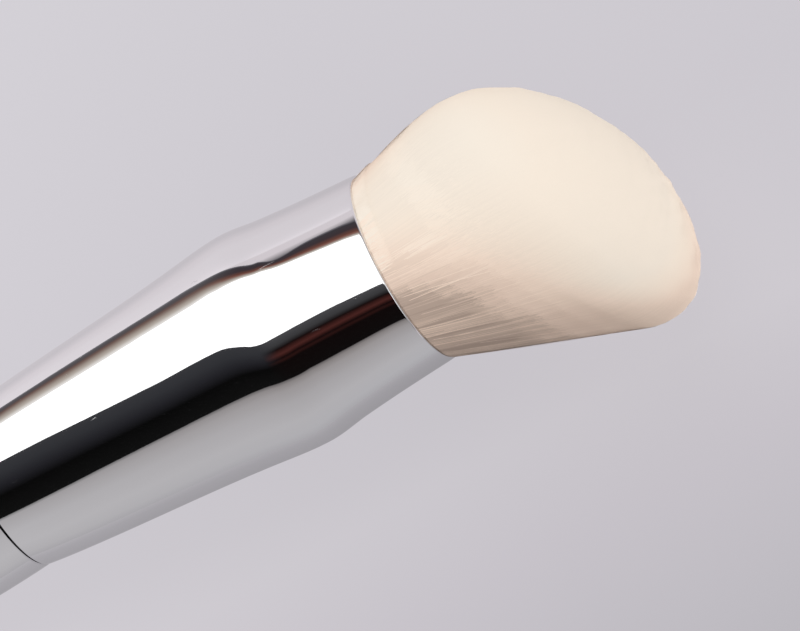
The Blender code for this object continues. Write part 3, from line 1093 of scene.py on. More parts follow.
@dataclass
class FibreHead:
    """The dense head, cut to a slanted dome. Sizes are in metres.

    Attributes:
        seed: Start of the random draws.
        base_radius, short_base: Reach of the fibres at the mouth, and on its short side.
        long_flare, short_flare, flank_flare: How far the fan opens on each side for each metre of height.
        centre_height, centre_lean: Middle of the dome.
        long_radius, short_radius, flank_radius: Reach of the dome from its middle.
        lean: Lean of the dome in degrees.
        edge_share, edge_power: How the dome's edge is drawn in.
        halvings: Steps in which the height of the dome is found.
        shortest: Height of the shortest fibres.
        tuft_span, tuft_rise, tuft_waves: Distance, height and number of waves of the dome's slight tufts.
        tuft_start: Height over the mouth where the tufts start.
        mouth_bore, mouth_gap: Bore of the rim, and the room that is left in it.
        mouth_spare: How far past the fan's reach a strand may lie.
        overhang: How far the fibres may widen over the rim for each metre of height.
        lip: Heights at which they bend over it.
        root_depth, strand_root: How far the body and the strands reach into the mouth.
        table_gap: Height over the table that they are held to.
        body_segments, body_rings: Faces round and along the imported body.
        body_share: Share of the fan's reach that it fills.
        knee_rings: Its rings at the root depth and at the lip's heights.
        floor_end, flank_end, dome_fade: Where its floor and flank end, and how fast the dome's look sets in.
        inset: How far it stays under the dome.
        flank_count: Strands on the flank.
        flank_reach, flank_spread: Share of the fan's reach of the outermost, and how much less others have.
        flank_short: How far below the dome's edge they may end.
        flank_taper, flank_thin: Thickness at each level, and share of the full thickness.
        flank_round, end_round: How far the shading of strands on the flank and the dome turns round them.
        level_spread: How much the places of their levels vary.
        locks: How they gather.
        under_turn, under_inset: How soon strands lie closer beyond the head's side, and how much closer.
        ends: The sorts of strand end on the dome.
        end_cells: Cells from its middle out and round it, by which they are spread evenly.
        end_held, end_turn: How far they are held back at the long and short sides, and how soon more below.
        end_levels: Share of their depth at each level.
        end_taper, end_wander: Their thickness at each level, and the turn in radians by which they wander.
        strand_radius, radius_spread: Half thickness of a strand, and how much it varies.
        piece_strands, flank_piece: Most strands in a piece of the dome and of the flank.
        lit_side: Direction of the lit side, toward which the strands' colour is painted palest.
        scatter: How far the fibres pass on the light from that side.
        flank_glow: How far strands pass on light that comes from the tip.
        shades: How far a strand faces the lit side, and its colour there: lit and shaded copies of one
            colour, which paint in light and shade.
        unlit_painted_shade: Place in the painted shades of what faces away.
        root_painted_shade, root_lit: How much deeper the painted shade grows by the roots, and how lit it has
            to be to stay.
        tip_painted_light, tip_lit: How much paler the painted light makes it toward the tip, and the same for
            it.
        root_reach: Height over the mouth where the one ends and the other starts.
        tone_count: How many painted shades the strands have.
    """

    seed: int = 11
    base_radius: float = 0.01128
    short_base: float = 0.01106
    long_flare: float = 0.362
    short_flare: float = 0.319
    flank_flare: float = 0.225
    centre_height: float = 0.0113
    centre_lean: float = 0.0046
    long_radius: float = 0.0215
    short_radius: float = 0.0177
    flank_radius: float = 0.0168
    lean: float = 55.0
    edge_share: float = 0.97
    edge_power: float = 8.0
    halvings: int = 40
    shortest: float = 0.0022
    tuft_span: float = 0.0032
    tuft_rise: float = 0.00006
    tuft_waves: int = 14
    tuft_start: float = 0.004
    mouth_bore: float = 0.0108
    mouth_gap: float = 0.00006
    mouth_spare: float = 0.0001
    overhang: float = 8.0
    lip: Sequence[float] = (0.0, 0.00003, 0.00012)
    root_depth: float = 0.0018
    strand_root: float = 0.0012
    table_gap: float = 0.00003
    body_segments: int = 256
    body_rings: int = 110
    body_share: float = 0.998
    knee_rings: Sequence[float] = (6.6, 8, 9, 10)
    floor_end: float = 0.06
    flank_end: float = 0.55
    dome_fade: float = 0.06
    inset: float = 0.0001
    flank_count: int = 8000
    flank_reach: float = 1.0005
    flank_spread: float = 0.006
    flank_short: float = 0.0015
    flank_taper: Sequence[float] = (0.9, *[1.0] * 6, 0.95, 0.8, 0.25)
    flank_thin: float = 0.8
    flank_round: float = 0.15
    end_round: float = 0.08
    level_spread: float = 0.05
    locks: Locks = Locks()
    under_turn: float = 5.0
    under_inset: float = 0.00006
    ends: Sequence[StrandEnds] = (
        StrandEnds("dome_fibres", 40000, 0.0012, 0.0005, 0.6),
        StrandEnds("stray_fibres", 1200, 0.003, 0.0013, 0.8),
    )
    end_cells: tuple[int, int] = (120, 240)
    end_held: float = 0.6
    end_turn: float = 4.0
    end_levels: Sequence[float] = (1.0, 0.4, 0.0)
    end_taper: Sequence[float] = (0.9, 1.0, 0.3)
    end_wander: float = 0.004
    strand_radius: float = 0.00004
    radius_spread: float = 0.25
    piece_strands: int = 14000
    flank_piece: int = 3500
    lit_side: Sequence[float] = (0.22, 0.64, 0.73)
    scatter: float = 0.5
    flank_glow: float = 0.2
    shades: Stops = (
        (0.0, (0.46, 0.355, 0.29)), (0.15, (0.63, 0.49, 0.395)), (0.3, (0.76, 0.59, 0.48)),
        (0.45, (0.79, 0.62, 0.505)), (0.58, (0.85, 0.68, 0.555)), (0.68, (0.91, 0.74, 0.61)),
        (0.78, (0.925, 0.785, 0.655)), (0.88, (0.925, 0.815, 0.69)), (1.0, (0.90, 0.82, 0.71)),
    )
    unlit_painted_shade: float = 0.25
    root_painted_shade: float = 0.9
    root_lit: tuple[float, float] = (0.95, 0.35)
    tip_painted_light: float = 0.4
    tip_lit: tuple[float, float] = (0.9, 0.4)
    root_reach: float = 0.0115
    tone_count: int = 28

    def spans(self, height: np.ndarray) -> tuple[np.ndarray, np.ndarray, np.ndarray]:
        """Size of the fan at a height.

        Args:
            height: The height over the mouth.

        Returns:
            Half its width between long and short side, how far its middle leans to the long side, and its
            reach to the flanks.
        """
        long_side = self.base_radius + height * self.long_flare
        short_side = self.short_base + height * self.short_flare
        flank = self.base_radius + height * self.flank_flare
        return (long_side + short_side) / 2, (long_side - short_side) / 2, flank

    def fan(self, share: np.ndarray, turn: np.ndarray, height: np.ndarray) -> np.ndarray:
        """Where a fibre passes a height over the mouth.

        Args:
            share: The fibre's share of the fan's reach, from 0 in the middle to 1.
            turn: Its turn in radians from the long side.
            height: The height over the mouth.

        Returns:
            Its place on the upright brush.
        """
        half, middle, flank = self.spans(height)
        across = -(middle + share * np.cos(turn) * half)
        place = np.broadcast_arrays(share * np.sin(turn) * flank, across, height + 0 * share * turn)
        return np.stack(place, axis=-1)

    def dome_reach(self, points: np.ndarray) -> np.ndarray:
        """Square of how far out points of the upright brush lie from the dome's middle, where 1 is on it.

        Args:
            points: Points of the upright brush.

        Returns:
            One number for each point.
        """
        side, across, height = np.moveaxis(points, -1, 0)
        cos_lean, sin_lean = math.cos(math.radians(self.lean)), math.sin(math.radians(self.lean))
        ahead, lean = height - self.centre_height, -across - self.centre_lean
        return (
            ((ahead * cos_lean + lean * sin_lean) / self.long_radius) ** 2
            + ((lean * cos_lean - ahead * sin_lean) / self.short_radius) ** 2
            + (side / self.flank_radius) ** 2
        )

    def tip_height(self, share: np.ndarray, turn: np.ndarray) -> np.ndarray:
        """Height at which a fibre meets the dome, found by halving.

        Args:
            share: The fibre's share of the fan's reach.
            turn: Its turn in radians from the long side.

        Returns:
            The height over the mouth.
        """
        limit = (1 - (self.edge_share * share) ** self.edge_power) ** (1 / self.edge_power)
        low = np.zeros(np.broadcast(share, turn).shape)
        high = low + self.centre_height + self.long_radius
        for _ in range(self.halvings):
            middle = (low + high) / 2
            inside = np.sqrt(self.dome_reach(self.fan(share, turn, middle))) < limit
            low, high = np.where(inside, middle, low), np.where(inside, high, middle)
        low = low + self.shortest * np.exp(-low / self.shortest)
        tufted = np.clip(low / self.tuft_start - 1, 0, 1)
        return low + self.unevenness(self.fan(share, turn, low)) * tufted

    def unevenness(self, points: np.ndarray) -> np.ndarray:
        """How far the cut ends stand out or back at points of the dome.

        Args:
            points: Points of the upright brush.

        Returns:
            A height in metres for each point.
        """
        chance = np.random.default_rng(self.seed)
        waves = chance.normal(0, 1, (3, self.tuft_waves)) * math.tau / self.tuft_span
        heights = np.cos(points @ waves + chance.uniform(0, math.tau, self.tuft_waves))
        return self.tuft_rise * heights.sum(axis=-1) / math.sqrt(self.tuft_waves / 2)

    def mouth_held(self, points: np.ndarray) -> np.ndarray:
        """Draw in what would pass through the rim, so that the fibres leave the mouth inside it.

        Args:
            points: Points of the upright brush.

        Returns:
            The points, held in.
        """
        turn = np.arctan2(points[..., 0], -points[..., 1])
        outermost = self.fan(np.float64(1.0), turn, points[..., 2])[..., :2]
        reach = np.linalg.norm(outermost, axis=-1) + self.mouth_spare
        allowed = self.mouth_bore - self.mouth_gap + np.maximum(points[..., 2], 0) * self.overhang
        held = points.copy()
        held[..., :2] *= np.minimum(1.0, allowed / reach)[..., None]
        return held

    def laid(self, points: np.ndarray, axes: BrushAxes) -> np.ndarray:
        """Lay upright points down with the brush, and press what would pass through the table onto it.

        Args:
            points: Points of the upright brush.
            axes: Where the brush lies.

        Returns:
            Points in the frame of the row.
        """
        matrix = np.array(axes.upright())
        placed = points @ matrix[:3, :3].T + matrix[:3, 3]
        placed[..., 2] = np.maximum(placed[..., 2], self.table_gap)
        return placed

    def fullness(self, points: np.ndarray) -> np.ndarray:
        """How full the head is at points of the upright brush: 1 on its smooth surface, less inside.

        Args:
            points: Points of the upright brush.

        Returns:
            One number for each point.
        """
        side, across, height = np.moveaxis(points, -1, 0)
        half, middle, flank = self.spans(height)
        share = ((-across - middle) / half) ** 2 + (side / flank) ** 2
        power = self.edge_power / 2
        filled = self.dome_reach(points) ** power + (self.edge_share**2 * share) ** power
        return filled ** (1 / self.edge_power)

    def facing(self, points: np.ndarray, axes: BrushAxes) -> np.ndarray:
        """Direction that the laid head's smooth surface faces beside points of the upright brush.

        Args:
            points: Points on strands or on the body.
            axes: Where the brush lies.

        Returns:
            A unit vector for each point.
        """
        step = 0.00001
        rise = [
            self.fullness(points + step * axis) - self.fullness(points - step * axis) for axis in np.eye(3)
        ]
        faced = np.stack(rise, axis=-1)
        faced /= np.linalg.norm(faced, axis=-1, keepdims=True)
        faced[..., 2] += self.flank_glow * np.linalg.norm(faced[..., :2], axis=-1)
        faced /= np.linalg.norm(faced, axis=-1, keepdims=True)
        return faced @ np.array(axes.upright())[:3, :3].T

    @property
    def toward_light(self) -> np.ndarray:
        """Unit vector to the lit side."""
        return np.array(self.lit_side) / np.linalg.norm(self.lit_side)

    def scattered(self, facing: np.ndarray) -> np.ndarray:
        """Directions by which the laid head takes its light, drawn toward the lit side."""
        drawn = facing + self.scatter * self.toward_light
        return drawn / np.linalg.norm(drawn, axis=-1, keepdims=True)

    def painted_light_share(self, facing: np.ndarray, height: np.ndarray) -> np.ndarray:
        """Place in the list of painted shades, from 0 to 1: paler where the head faces the lit side.

        Args:
            facing: Directions that the laid head faces.
            height: Heights over the mouth.

        Returns:
            One place for each direction.
        """
        # Painted light and shade: what faces the lit side takes a paler colour.
        lit = facing @ self.toward_light
        by_root, by_tip = (
            np.clip((most - lit) / (most - least), 0, 1) for most, least in (self.root_lit, self.tip_lit)
        )
        # Painted shade, deeper by the roots where the head faces away from the light.
        rooted = np.clip(1 - height / self.root_reach, 0, 1) * by_root
        # Painted light, paler toward the tip where the head faces away from the lamp.
        tipped = np.clip(height / self.root_reach - 1, 0, 1) * by_tip
        shade = self.unlit_painted_shade + (1 - self.unlit_painted_shade) * np.clip(lit, 0, 1)
        return np.clip(shade - self.root_painted_shade * rooted + self.tip_painted_light * tipped, 0, 1)

    def body_places(self, level: np.ndarray, turn: np.ndarray) -> np.ndarray:
        """Where the rings of a globe move to: the floor in the mouth, the flank and the dome.

        Args:
            level: Place of each point of the globe from its lower pole, 0, to its upper pole, 1.
            turn: Its turn in radians from the long side.

        Returns:
            Points of the upright brush.
        """
        span = self.flank_end - self.floor_end
        rise = np.clip((level - self.floor_end) / span, 0, 1)
        on_flank = level < self.flank_end
        share = np.where(on_flank, 1.0, np.clip((1 - level) / (1 - self.flank_end), 0, 1))
        top = self.tip_height(share, turn) - self.inset
        knee = (np.array(self.knee_rings) / self.body_rings - self.floor_end) / span
        bent = np.interp(rise, knee, [-self.root_depth, *self.lip])
        risen = self.lip[-1] + (rise - knee[-1]) / (1 - knee[-1]) * (top - self.lip[-1])
        height = np.where(on_flank, np.where(rise < knee[-1], bent, risen), top)
        placed = self.fan(share * self.body_share, turn, height)
        floor = np.clip(level / self.floor_end, 0, 1) * self.mouth_bore
        flat = np.stack([floor * np.sin(turn), -floor * np.cos(turn), 0 * turn - self.root_depth], axis=-1)
        return self.mouth_held(np.where((level < self.floor_end)[:, None], flat, placed))

    def core(self, axes: BrushAxes, finish: bpy.types.Material) -> bpy.types.Object:
        """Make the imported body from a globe.

        Args:
            axes: Where the brush lies.
            finish: Material of the body.

        Returns:
            The piece.
        """
        deselect_all()
        bpy.ops.mesh.primitive_uv_sphere_add(
            segments=self.body_segments, ring_count=self.body_rings, radius=1.0
        )
        body = name_active("fibre_body")
        mesh = body.data
        corners = np.array([v.co for v in mesh.vertices])
        level = np.arccos(np.clip(-corners[:, 2], -1, 1)) / math.pi
        held = self.body_places(level, np.arctan2(corners[:, 0], -corners[:, 1]))
        mesh.vertices.foreach_set("co", self.laid(held, axes).ravel())
        faced = self.facing(held, axes)
        # The body's painted light and shade, by how it faces the lit side.
        lit = self.painted_light_share(faced, held[:, 2])
        domed = np.clip((level - self.flank_end) / self.dome_fade, 0, 1)
        for name, values in ((PAINTED_LIGHT_SHARE, lit), (DOME_SHARE, domed)):
            mesh.attributes.new(name, "FLOAT", "POINT").data.foreach_set("value", values)
        bpy.ops.object.mode_set(mode="EDIT")
        bpy.ops.mesh.select_all(action="SELECT")
        bpy.ops.mesh.normals_make_consistent(inside=False)
        bpy.ops.object.mode_set(mode="OBJECT")
        bpy.ops.object.shade_smooth()
        mesh.normals_split_custom_set_from_vertices(self.scattered(faced))
        mesh.materials.append(finish)
        return body

    def flank_paths(self, chance: np.random.Generator) -> tuple[np.ndarray, np.ndarray]:
        """Paths of the strands that show from the mouth to the dome's edge.

        Args:
            chance: The random draws.

        Returns:
            Points of each path, and how much paler or deeper each strand is at these points.
        """
        count, locks, lip = self.flank_count, self.locks, self.lip
        risen = len(self.flank_taper) - len(lip)
        turn = chance.uniform(-math.pi, math.pi, count)
        share = self.flank_reach - chance.uniform(0.0, 1.0, count) ** 1.5 * self.flank_spread
        top = self.tip_height(share, turn) - chance.uniform(0.0, 1.0, count) ** 2 * self.flank_short
        lock_at = np.sort(chance.uniform(-math.pi, math.pi, locks.count))
        lock = np.abs(lock_at[None] - turn[:, None]).argmin(axis=1)
        nearest = lock_at[lock]
        along = np.concatenate([[0.0] * len(lip), np.linspace(0.0, 1.0, risen)])[None]
        varied = chance.uniform(-self.level_spread, self.level_spread, count)[:, None]
        along = along + varied * np.sin(np.pi * along)
        height = np.array([-self.strand_root, *lip[:2]] + [lip[-1]] * risen)[None]
        height = height + (top[:, None] - lip[-1]) * along
        gather = locks.pull * np.exp(-(((height - locks.height) / locks.reach) ** 2))
        loose = chance.uniform(0, 1, count) < locks.loose_share
        drift = chance.normal(0, locks.wander, count) + loose * chance.normal(0, locks.loose_wander, count)
        swept = turn[:, None] + (nearest - turn)[:, None] * gather + drift[:, None] * along
        spare = np.clip(1 - np.abs(nearest - turn)[:, None] / locks.width, -1, 1)
        lift = locks.rise * spare * gather / locks.pull + chance.uniform(*locks.strand_rise, count)[:, None]
        lift = lift + locks.loose_rise * loose[:, None] * np.sin(np.pi * along)
        under = np.clip(self.under_turn * np.sin(swept), 0, 1)
        lift = lift * (1 - under) - self.under_inset * under
        points = self.fan(share[:, None], swept, height)
        points[..., 0] += np.sin(swept) * lift
        points[..., 1] -= np.cos(swept) * lift
        shift = chance.normal(0, locks.shade, locks.count)[lock] + chance.normal(0, locks.strand_shade, count)
        shift = np.where(loose, locks.loose_shade, np.maximum(shift, -locks.deepest))
        return self.mouth_held(points), shift[:, None] * (1 - along) ** locks.fade

    def dome_paths(self, chance: np.random.Generator, sort: StrandEnds) -> np.ndarray:
        """Paths of the strand ends that make up the dome, spread evenly over it.

        Args:
            chance: The random draws.
            sort: The sort of strand end.

        Returns:
            Points of each path.
        """
        (share_cells, turn_cells), count = self.end_cells, sort.count
        share = (np.arange(share_cells) + 0.5) / share_cells
        turn = (np.arange(turn_cells) + 0.5) / turn_cells * math.tau
        share_grid, turn_grid = np.meshgrid(share, turn, indexing="ij")
        surface = self.fan(share_grid, turn_grid, self.tip_height(share_grid, turn_grid))
        by_share = np.gradient(surface, axis=0)
        by_turn = np.roll(surface, -1, axis=1) - np.roll(surface, 1, axis=1)
        area = np.linalg.norm(np.cross(by_share, by_turn), axis=-1).ravel()
        cell = chance.choice(area.size, count, p=area / area.sum())
        share = (cell // turn_cells + chance.uniform(0, 1, count)) / share_cells
        turn = (cell % turn_cells + chance.uniform(0, 1, count)) / turn_cells * math.tau
        held = np.clip(self.end_held + self.end_turn * np.sin(turn), 0, 1)
        passed = (1 - held) * chance.uniform(0, 1, count) ** 2 - 0.5
        top = self.tip_height(share, turn) + sort.above * passed
        height = top[:, None] - sort.below * np.array(self.end_levels)
        along = np.linspace(0.0, 1.0, len(self.end_levels))
        wander = chance.normal(0, self.end_wander, count)[:, None] * along
        return self.fan(share[:, None], turn[:, None] + wander, height)

    def tones(self) -> list[bpy.types.Material]:
        """Make the strands' materials, lit and shaded copies of one colour, from the deepest painted shade to
        the palest.

        Returns:
            The materials, in order.
        """
        places = np.array([place for place, _ in self.shades])
        colours = np.array([colour for _, colour in self.shades])
        steps = (np.arange(self.tone_count) + 0.5) / self.tone_count
        mixed = np.stack([np.interp(steps, places, colours[:, i]) for i in range(3)], axis=-1)
        return [PaintedFibreShade(f"fibre_tone_{i}", tuple(tone.tolist())).build() for i, tone in enumerate(mixed)]

    def build(self, axes: BrushAxes) -> None:
        """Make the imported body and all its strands.

        Args:
            axes: Where the brush lies.
        """
        chance = np.random.default_rng(self.seed)
        body = self.core(axes, PackedFibre("packed_fibre", self.shades).build())
        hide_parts(Node.HEAD.value)
        tones = self.tones()
        long_strand = Strand("flank_fibres", len(self.flank_taper), self.flank_round)
        flank, shift = self.flank_paths(chance)
        width = np.array(self.flank_taper) * self.flank_thin
        pieces = self.bundles(long_strand, flank, shift, width, chance, axes, tones, self.flank_piece)
        even = np.zeros((1, len(self.end_taper)))
        for sort in self.ends:
            short_strand = Strand(sort.name, len(self.end_taper), self.end_round)
            paths, width = self.dome_paths(chance, sort), np.array(self.end_taper) * sort.thin
            pieces += self.bundles(short_strand, paths, even, width, chance, axes, tones, self.piece_strands)
        for piece in [body, *pieces]:
            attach(piece, ROOT_BODY)
            report(piece)

    def bundles(
        self, strand: Strand, paths: np.ndarray, shift: np.ndarray, taper: np.ndarray,
        chance: np.random.Generator, axes: BrushAxes, tones: Sequence[bpy.types.Material], most: int,
    ) -> list[bpy.types.Object]:
        """Copy a strand along all the paths, as pieces of a bounded size.

        Args:
            strand: The strand to copy.
            paths: Points of each path on the upright brush.
            shift: How much paler or deeper strands are at their points.
            taper: Share of the full thickness at each level.
            chance: The random draws.
            axes: Where the brush lies.
            tones: Materials of the strands, their painted shades.
            most: Most strands in a piece.

        Returns:
            The pieces.
        """
        made = []
        shift = np.broadcast_to(shift, paths.shape[:2])
        for start in range(0, len(paths), most):
            upright = paths[start : start + most]
            facing = self.facing(upright, axes)
            varied = chance.uniform(1 - self.radius_spread, 1 + self.radius_spread, (len(upright), 1))
            width = self.strand_radius * varied * taper[None]
            # Each strand takes the painted shade of how it faces the lit side, shifted by its lock.
            lit = self.painted_light_share(facing, upright[..., 2]) + shift[start : start + most]
            tone = np.clip((lit * len(tones)).astype(int), 0, len(tones) - 1)
            name = f"{strand.name}_{len(made)}"
            piece = strand.copied(name, self.laid(upright, axes), self.scattered(facing), width, tone)
            for material in tones:
                piece.data.materials.append(material)
            made.append(piece)
        return made


@dataclass(frozen=True)
class Card:
    """A sheet that stands close round the plating and shows only in it.

    Attributes:
        name: The card's name.
        low: Distance along in millimetres and turn of points on its first edge.
        high: The same on its second edge.
        stops: Place across the card, and the light that it gives there by the tail.
        tip_stops: The same by the mouth.
        change: Distances along between which one gives way to the other.
        radius: Distance of the card from the brush's middle line.
        smoothing, smooth_steps: How far along the corners of its edges are smoothed, and in how many steps.
        columns, rows: Faces along and across it.
    """

    name: str
    low: Sequence[Point]
    high: Sequence[Point]
    stops: Stops
    tip_stops: Stops
    change: tuple[float, float] = (-26.0, -15.0)
    radius: float = 25.0
    smoothing: float = 0.8
    smooth_steps: int = 9
    columns: int = 480
    rows: int = 10

    def edge(self, distance: np.ndarray, points: Sequence[Point]) -> np.ndarray:
        """Turn of an edge at each distance along, with its corners smoothed.

        Args:
            distance: Distances along.
            points: Distance along and turn of the edge's points.

        Returns:
            A turn in degrees for each distance.
        """
        places, turns = np.array(points).T
        spread = np.linspace(-self.smoothing, self.smoothing, self.smooth_steps)[:, None]
        return np.interp(distance + spread, places, turns).mean(axis=0)

    def finish(self, start: float, end: float) -> bpy.types.Material:
        """Make the card's light, which changes between the tail and the mouth.

        Args:
            start: Distance along of the card's first column.
            end: The same of its last column.

        Returns:
            The material.
        """
        material = bpy.data.materials.new(self.name)
        material.use_nodes = True
        sheet = ShaderSheet(material.node_tree)
        place = sheet.split("UV").outputs
        nearer = sheet.remap(place["X"], *((distance - start) / (end - start) for distance in self.change))
        ramps = (sheet.ramp(place["Y"], stops) for stops in (self.stops, self.tip_stops))
        shown = sheet.glow(sheet.mix(nearer, *ramps))
        sheet.feed(sheet.node("ShaderNodeOutputMaterial"), Surface=shown)
        return material

    def build(self, axes: BrushAxes) -> bpy.types.Object:
        """Bend a grid between the two edges and let it glow.

        Args:
            axes: Where the brush lies.

        Returns:
            The card.
        """
        deselect_all()
        bpy.ops.mesh.primitive_grid_add(x_subdivisions=self.columns, y_subdivisions=self.rows, size=1.0)
        card = name_active(self.name)
        start, end = self.low[0][0], self.low[-1][0]
        share, across = (np.array([vertex.co[i] for vertex in card.data.vertices]) + 0.5 for i in (0, 1))
        distance = start + (end - start) * share
        low, high = self.edge(distance, self.low), self.edge(distance, self.high)
        for vertex, place, turn in zip(card.data.vertices, distance, low + (high - low) * across):
            vertex.co = axes.around(place * MILLI, turn, self.radius * MILLI)
        card.data.materials.append(self.finish(start, end))
        hide_from(card, "camera", "diffuse", "transmission", "shadow")
        return card


@dataclass(frozen=True)
class Studio:
    """Pale floor, soft lamp, pale surroundings and the cards that the plating reflects.

    Attributes:
        floor_size: Side of the floor.
        floor_colour: Colour of the floor.
        floor_glow: Share of the floor's tone that is its own light.
        fade_reach: How far to each side of the brush the floor's tone changes.
        floor_seen: Tone of the floor for the lens, from the long side of the head to the short side.
        floor_plated_with_shadow: The same for the plating, with a painted shadow of the brush close to its
            long side.
        floor_bounce: The light that it gives to matt pieces.
        floor_rough: Roughness of the floor.
        lift_along, lift: From and to where along the brush its light changes, and how much more it is there.
        lens_share: Share of that change that the lens sees.
        bounce_along, bounce_across: From and to where the light for matt pieces grows.
        bounce_rise: How much stronger it grows beside the tip, on the long side.
        backdrop: Colour that the lens sees round the floor.
        lamp_size: Side of the soft lamp.
        lamp_ahead, lamp_turn, lamp_distance: Where it hangs, ahead of the mouth and round the brush.
        lamp_power: Watts of the lamp.
        dome_light, dome_tint: Level and colour of the even light from all round.
        dome_bands: What the plating reflects from below, 0, to above, 1.
    """

    floor_size: float = 6.0
    floor_colour: Colour = (0.60, 0.575, 0.62)
    floor_glow: float = 0.88
    fade_reach: float = 0.06
    floor_seen: Stops = (
        (0.05, (0.51, 0.495, 0.53)), (0.23, (0.59, 0.562, 0.605)), (0.33, (0.635, 0.61, 0.65)),
        (0.53, (0.622, 0.60, 0.643)), (0.9, (0.66, 0.64, 0.68)),
    )
    # The darker band close to the brush's long side is a painted shadow of the brush, for the plating to
    # reflect.
    floor_plated_with_shadow: Stops = (
        (0.0, (0.45, 0.44, 0.46)), (0.15, (0.43, 0.42, 0.44)), (0.27, (0.38, 0.37, 0.39)),
        (0.40, (0.36, 0.35, 0.37)), (0.5, (0.58, 0.55, 0.58)), (0.69, (0.58, 0.55, 0.58)),
        (0.77, (0.70, 0.655, 0.685)), (0.88, (0.74, 0.70, 0.73)),
    )
    floor_bounce: Stops = (
        (0.3, (1.1, 1.06, 1.05)), (0.48, (0.80, 0.765, 0.76)), (0.6, (0.44, 0.42, 0.42)),
    )
    floor_rough: float = 0.9
    lift_along: tuple[float, float] = (-0.02, 0.05)
    lift: tuple[float, float] = (0.14, -0.03)
    lens_share: float = 0.4
    bounce_along: tuple[float, float] = (0.05, 0.08)
    bounce_across: tuple[float, float] = (0.01, -0.015)
    bounce_rise: float = 1.4
    backdrop: Colour = (0.61, 0.585, 0.63)
    lamp_size: float = 0.55
    lamp_ahead: float = 0.16
    lamp_turn: float = 38.0
    lamp_distance: float = 0.7
    lamp_power: float = 3.75
    dome_light: float = 0.41
    dome_tint: Colour = (1.0, 0.98, 1.0)
    dome_bands: Stops = (
        (0.0, (0.7, 0.65, 0.68)), (0.56, (0.7, 0.65, 0.68)), (0.64, (0.06, 0.06, 0.065)),
        (0.8, (0.9, 0.9, 0.9)),
    )

    def floor(self) -> None:
        """Lay the floor, which looks evenly pale and still keeps a faint shadow."""
        deselect_all()
        bpy.ops.mesh.primitive_plane_add(size=self.floor_size)
        floor = name_active("studio_floor")
        material, sheet, shader = new_material("studio_floor")
        sheet.feed(shader, Base_Color=self.floor_colour, Roughness=self.floor_rough, Specular_IOR_Level=0.0)
        place = sheet.split("Object").outputs
        rays = sheet.node("ShaderNodeLightPath").outputs
        camera, glossy, diffuse = (rays[ray.value] for ray in (Ray.CAMERA, Ray.GLOSSY, Ray.DIFFUSE))
        across = sheet.remap(place["Y"], -self.fade_reach, self.fade_reach)
        # For the plating, the floor carries a painted shadow beside the brush.
        seen, plated_with_shadow, bounced = (
            sheet.ramp(across, stops) for stops in (self.floor_seen, self.floor_plated_with_shadow, self.floor_bounce)
        )
        shown = sheet.math("ADD", glossy, sheet.math("MULTIPLY", camera, self.lens_share))
        lift = sheet.math("MULTIPLY", shown, sheet.remap(place["X"], *self.lift_along, *self.lift))
        rise = sheet.remap(place["X"], *self.bounce_along, 0.0, self.bounce_rise)
        rise = sheet.math("MULTIPLY", rise, sheet.remap(place["Y"], *self.bounce_across))
        rise = sheet.math("MULTIPLY", diffuse, rise)
        strength = sheet.math("ADD", sheet.math("ADD", lift, rise), 1.0)
        tone = sheet.mix(diffuse, sheet.mix(glossy, seen, plated_with_shadow), bounced)
        blend = sheet.node("ShaderNodeMixShader")
        shades = (self.floor_glow, shader.outputs[0], sheet.glow(tone, strength))
        for value, target in zip(shades, blend.inputs):
            sheet.join(value, target)
        output = next(node for node in sheet.tree.nodes if node.type == "OUTPUT_MATERIAL")
        sheet.feed(output, Surface=blend.outputs[0])
        floor.data.materials.append(material)

    def surroundings(self) -> None:
        """Set the world: pale for the lens, even for matt pieces, and banded for the plating."""
        world = bpy.data.worlds.new("studio_world")
        bpy.context.scene.world = world
        world.use_nodes = True
        sheet = ShaderSheet(world.node_tree)
        rays = sheet.node("ShaderNodeLightPath").outputs
        upward = sheet.split("Generated").outputs["Z"]
        height = sheet.math("ADD", sheet.math("MULTIPLY", upward, 0.5), 0.5)
        even = tuple(self.dome_light * value for value in self.dome_tint)
        seen = sheet.mix(rays[Ray.GLOSSY.value], even, sheet.ramp(height, self.dome_bands))
        colour = sheet.mix(rays[Ray.CAMERA.value], seen, self.backdrop)
        background = sheet.feed(sheet.node("ShaderNodeBackground"), Color=colour)
        sheet.feed(sheet.node("ShaderNodeOutputWorld"), Surface=background.outputs[0])

    def lamp(self, axes: BrushAxes) -> None:
        """Hang one large soft lamp over the short side, ahead of the mouth.

        Args:
            axes: Where the brush lies.
        """
        data = bpy.data.lights.new("soft_lamp", "AREA")
        data.shape = "SQUARE"
        data.size = self.lamp_size
        data.energy = self.lamp_power
        lamp = bpy.data.objects.new("soft_lamp", data)
        bpy.context.scene.collection.objects.link(lamp)
        lamp.location = axes.around(self.lamp_ahead, self.lamp_turn, self.lamp_distance)
        lamp.rotation_euler = (lamp.location - axes.mouth).to_track_quat("Z", "Y").to_euler()
        hide_from(lamp, "glossy")

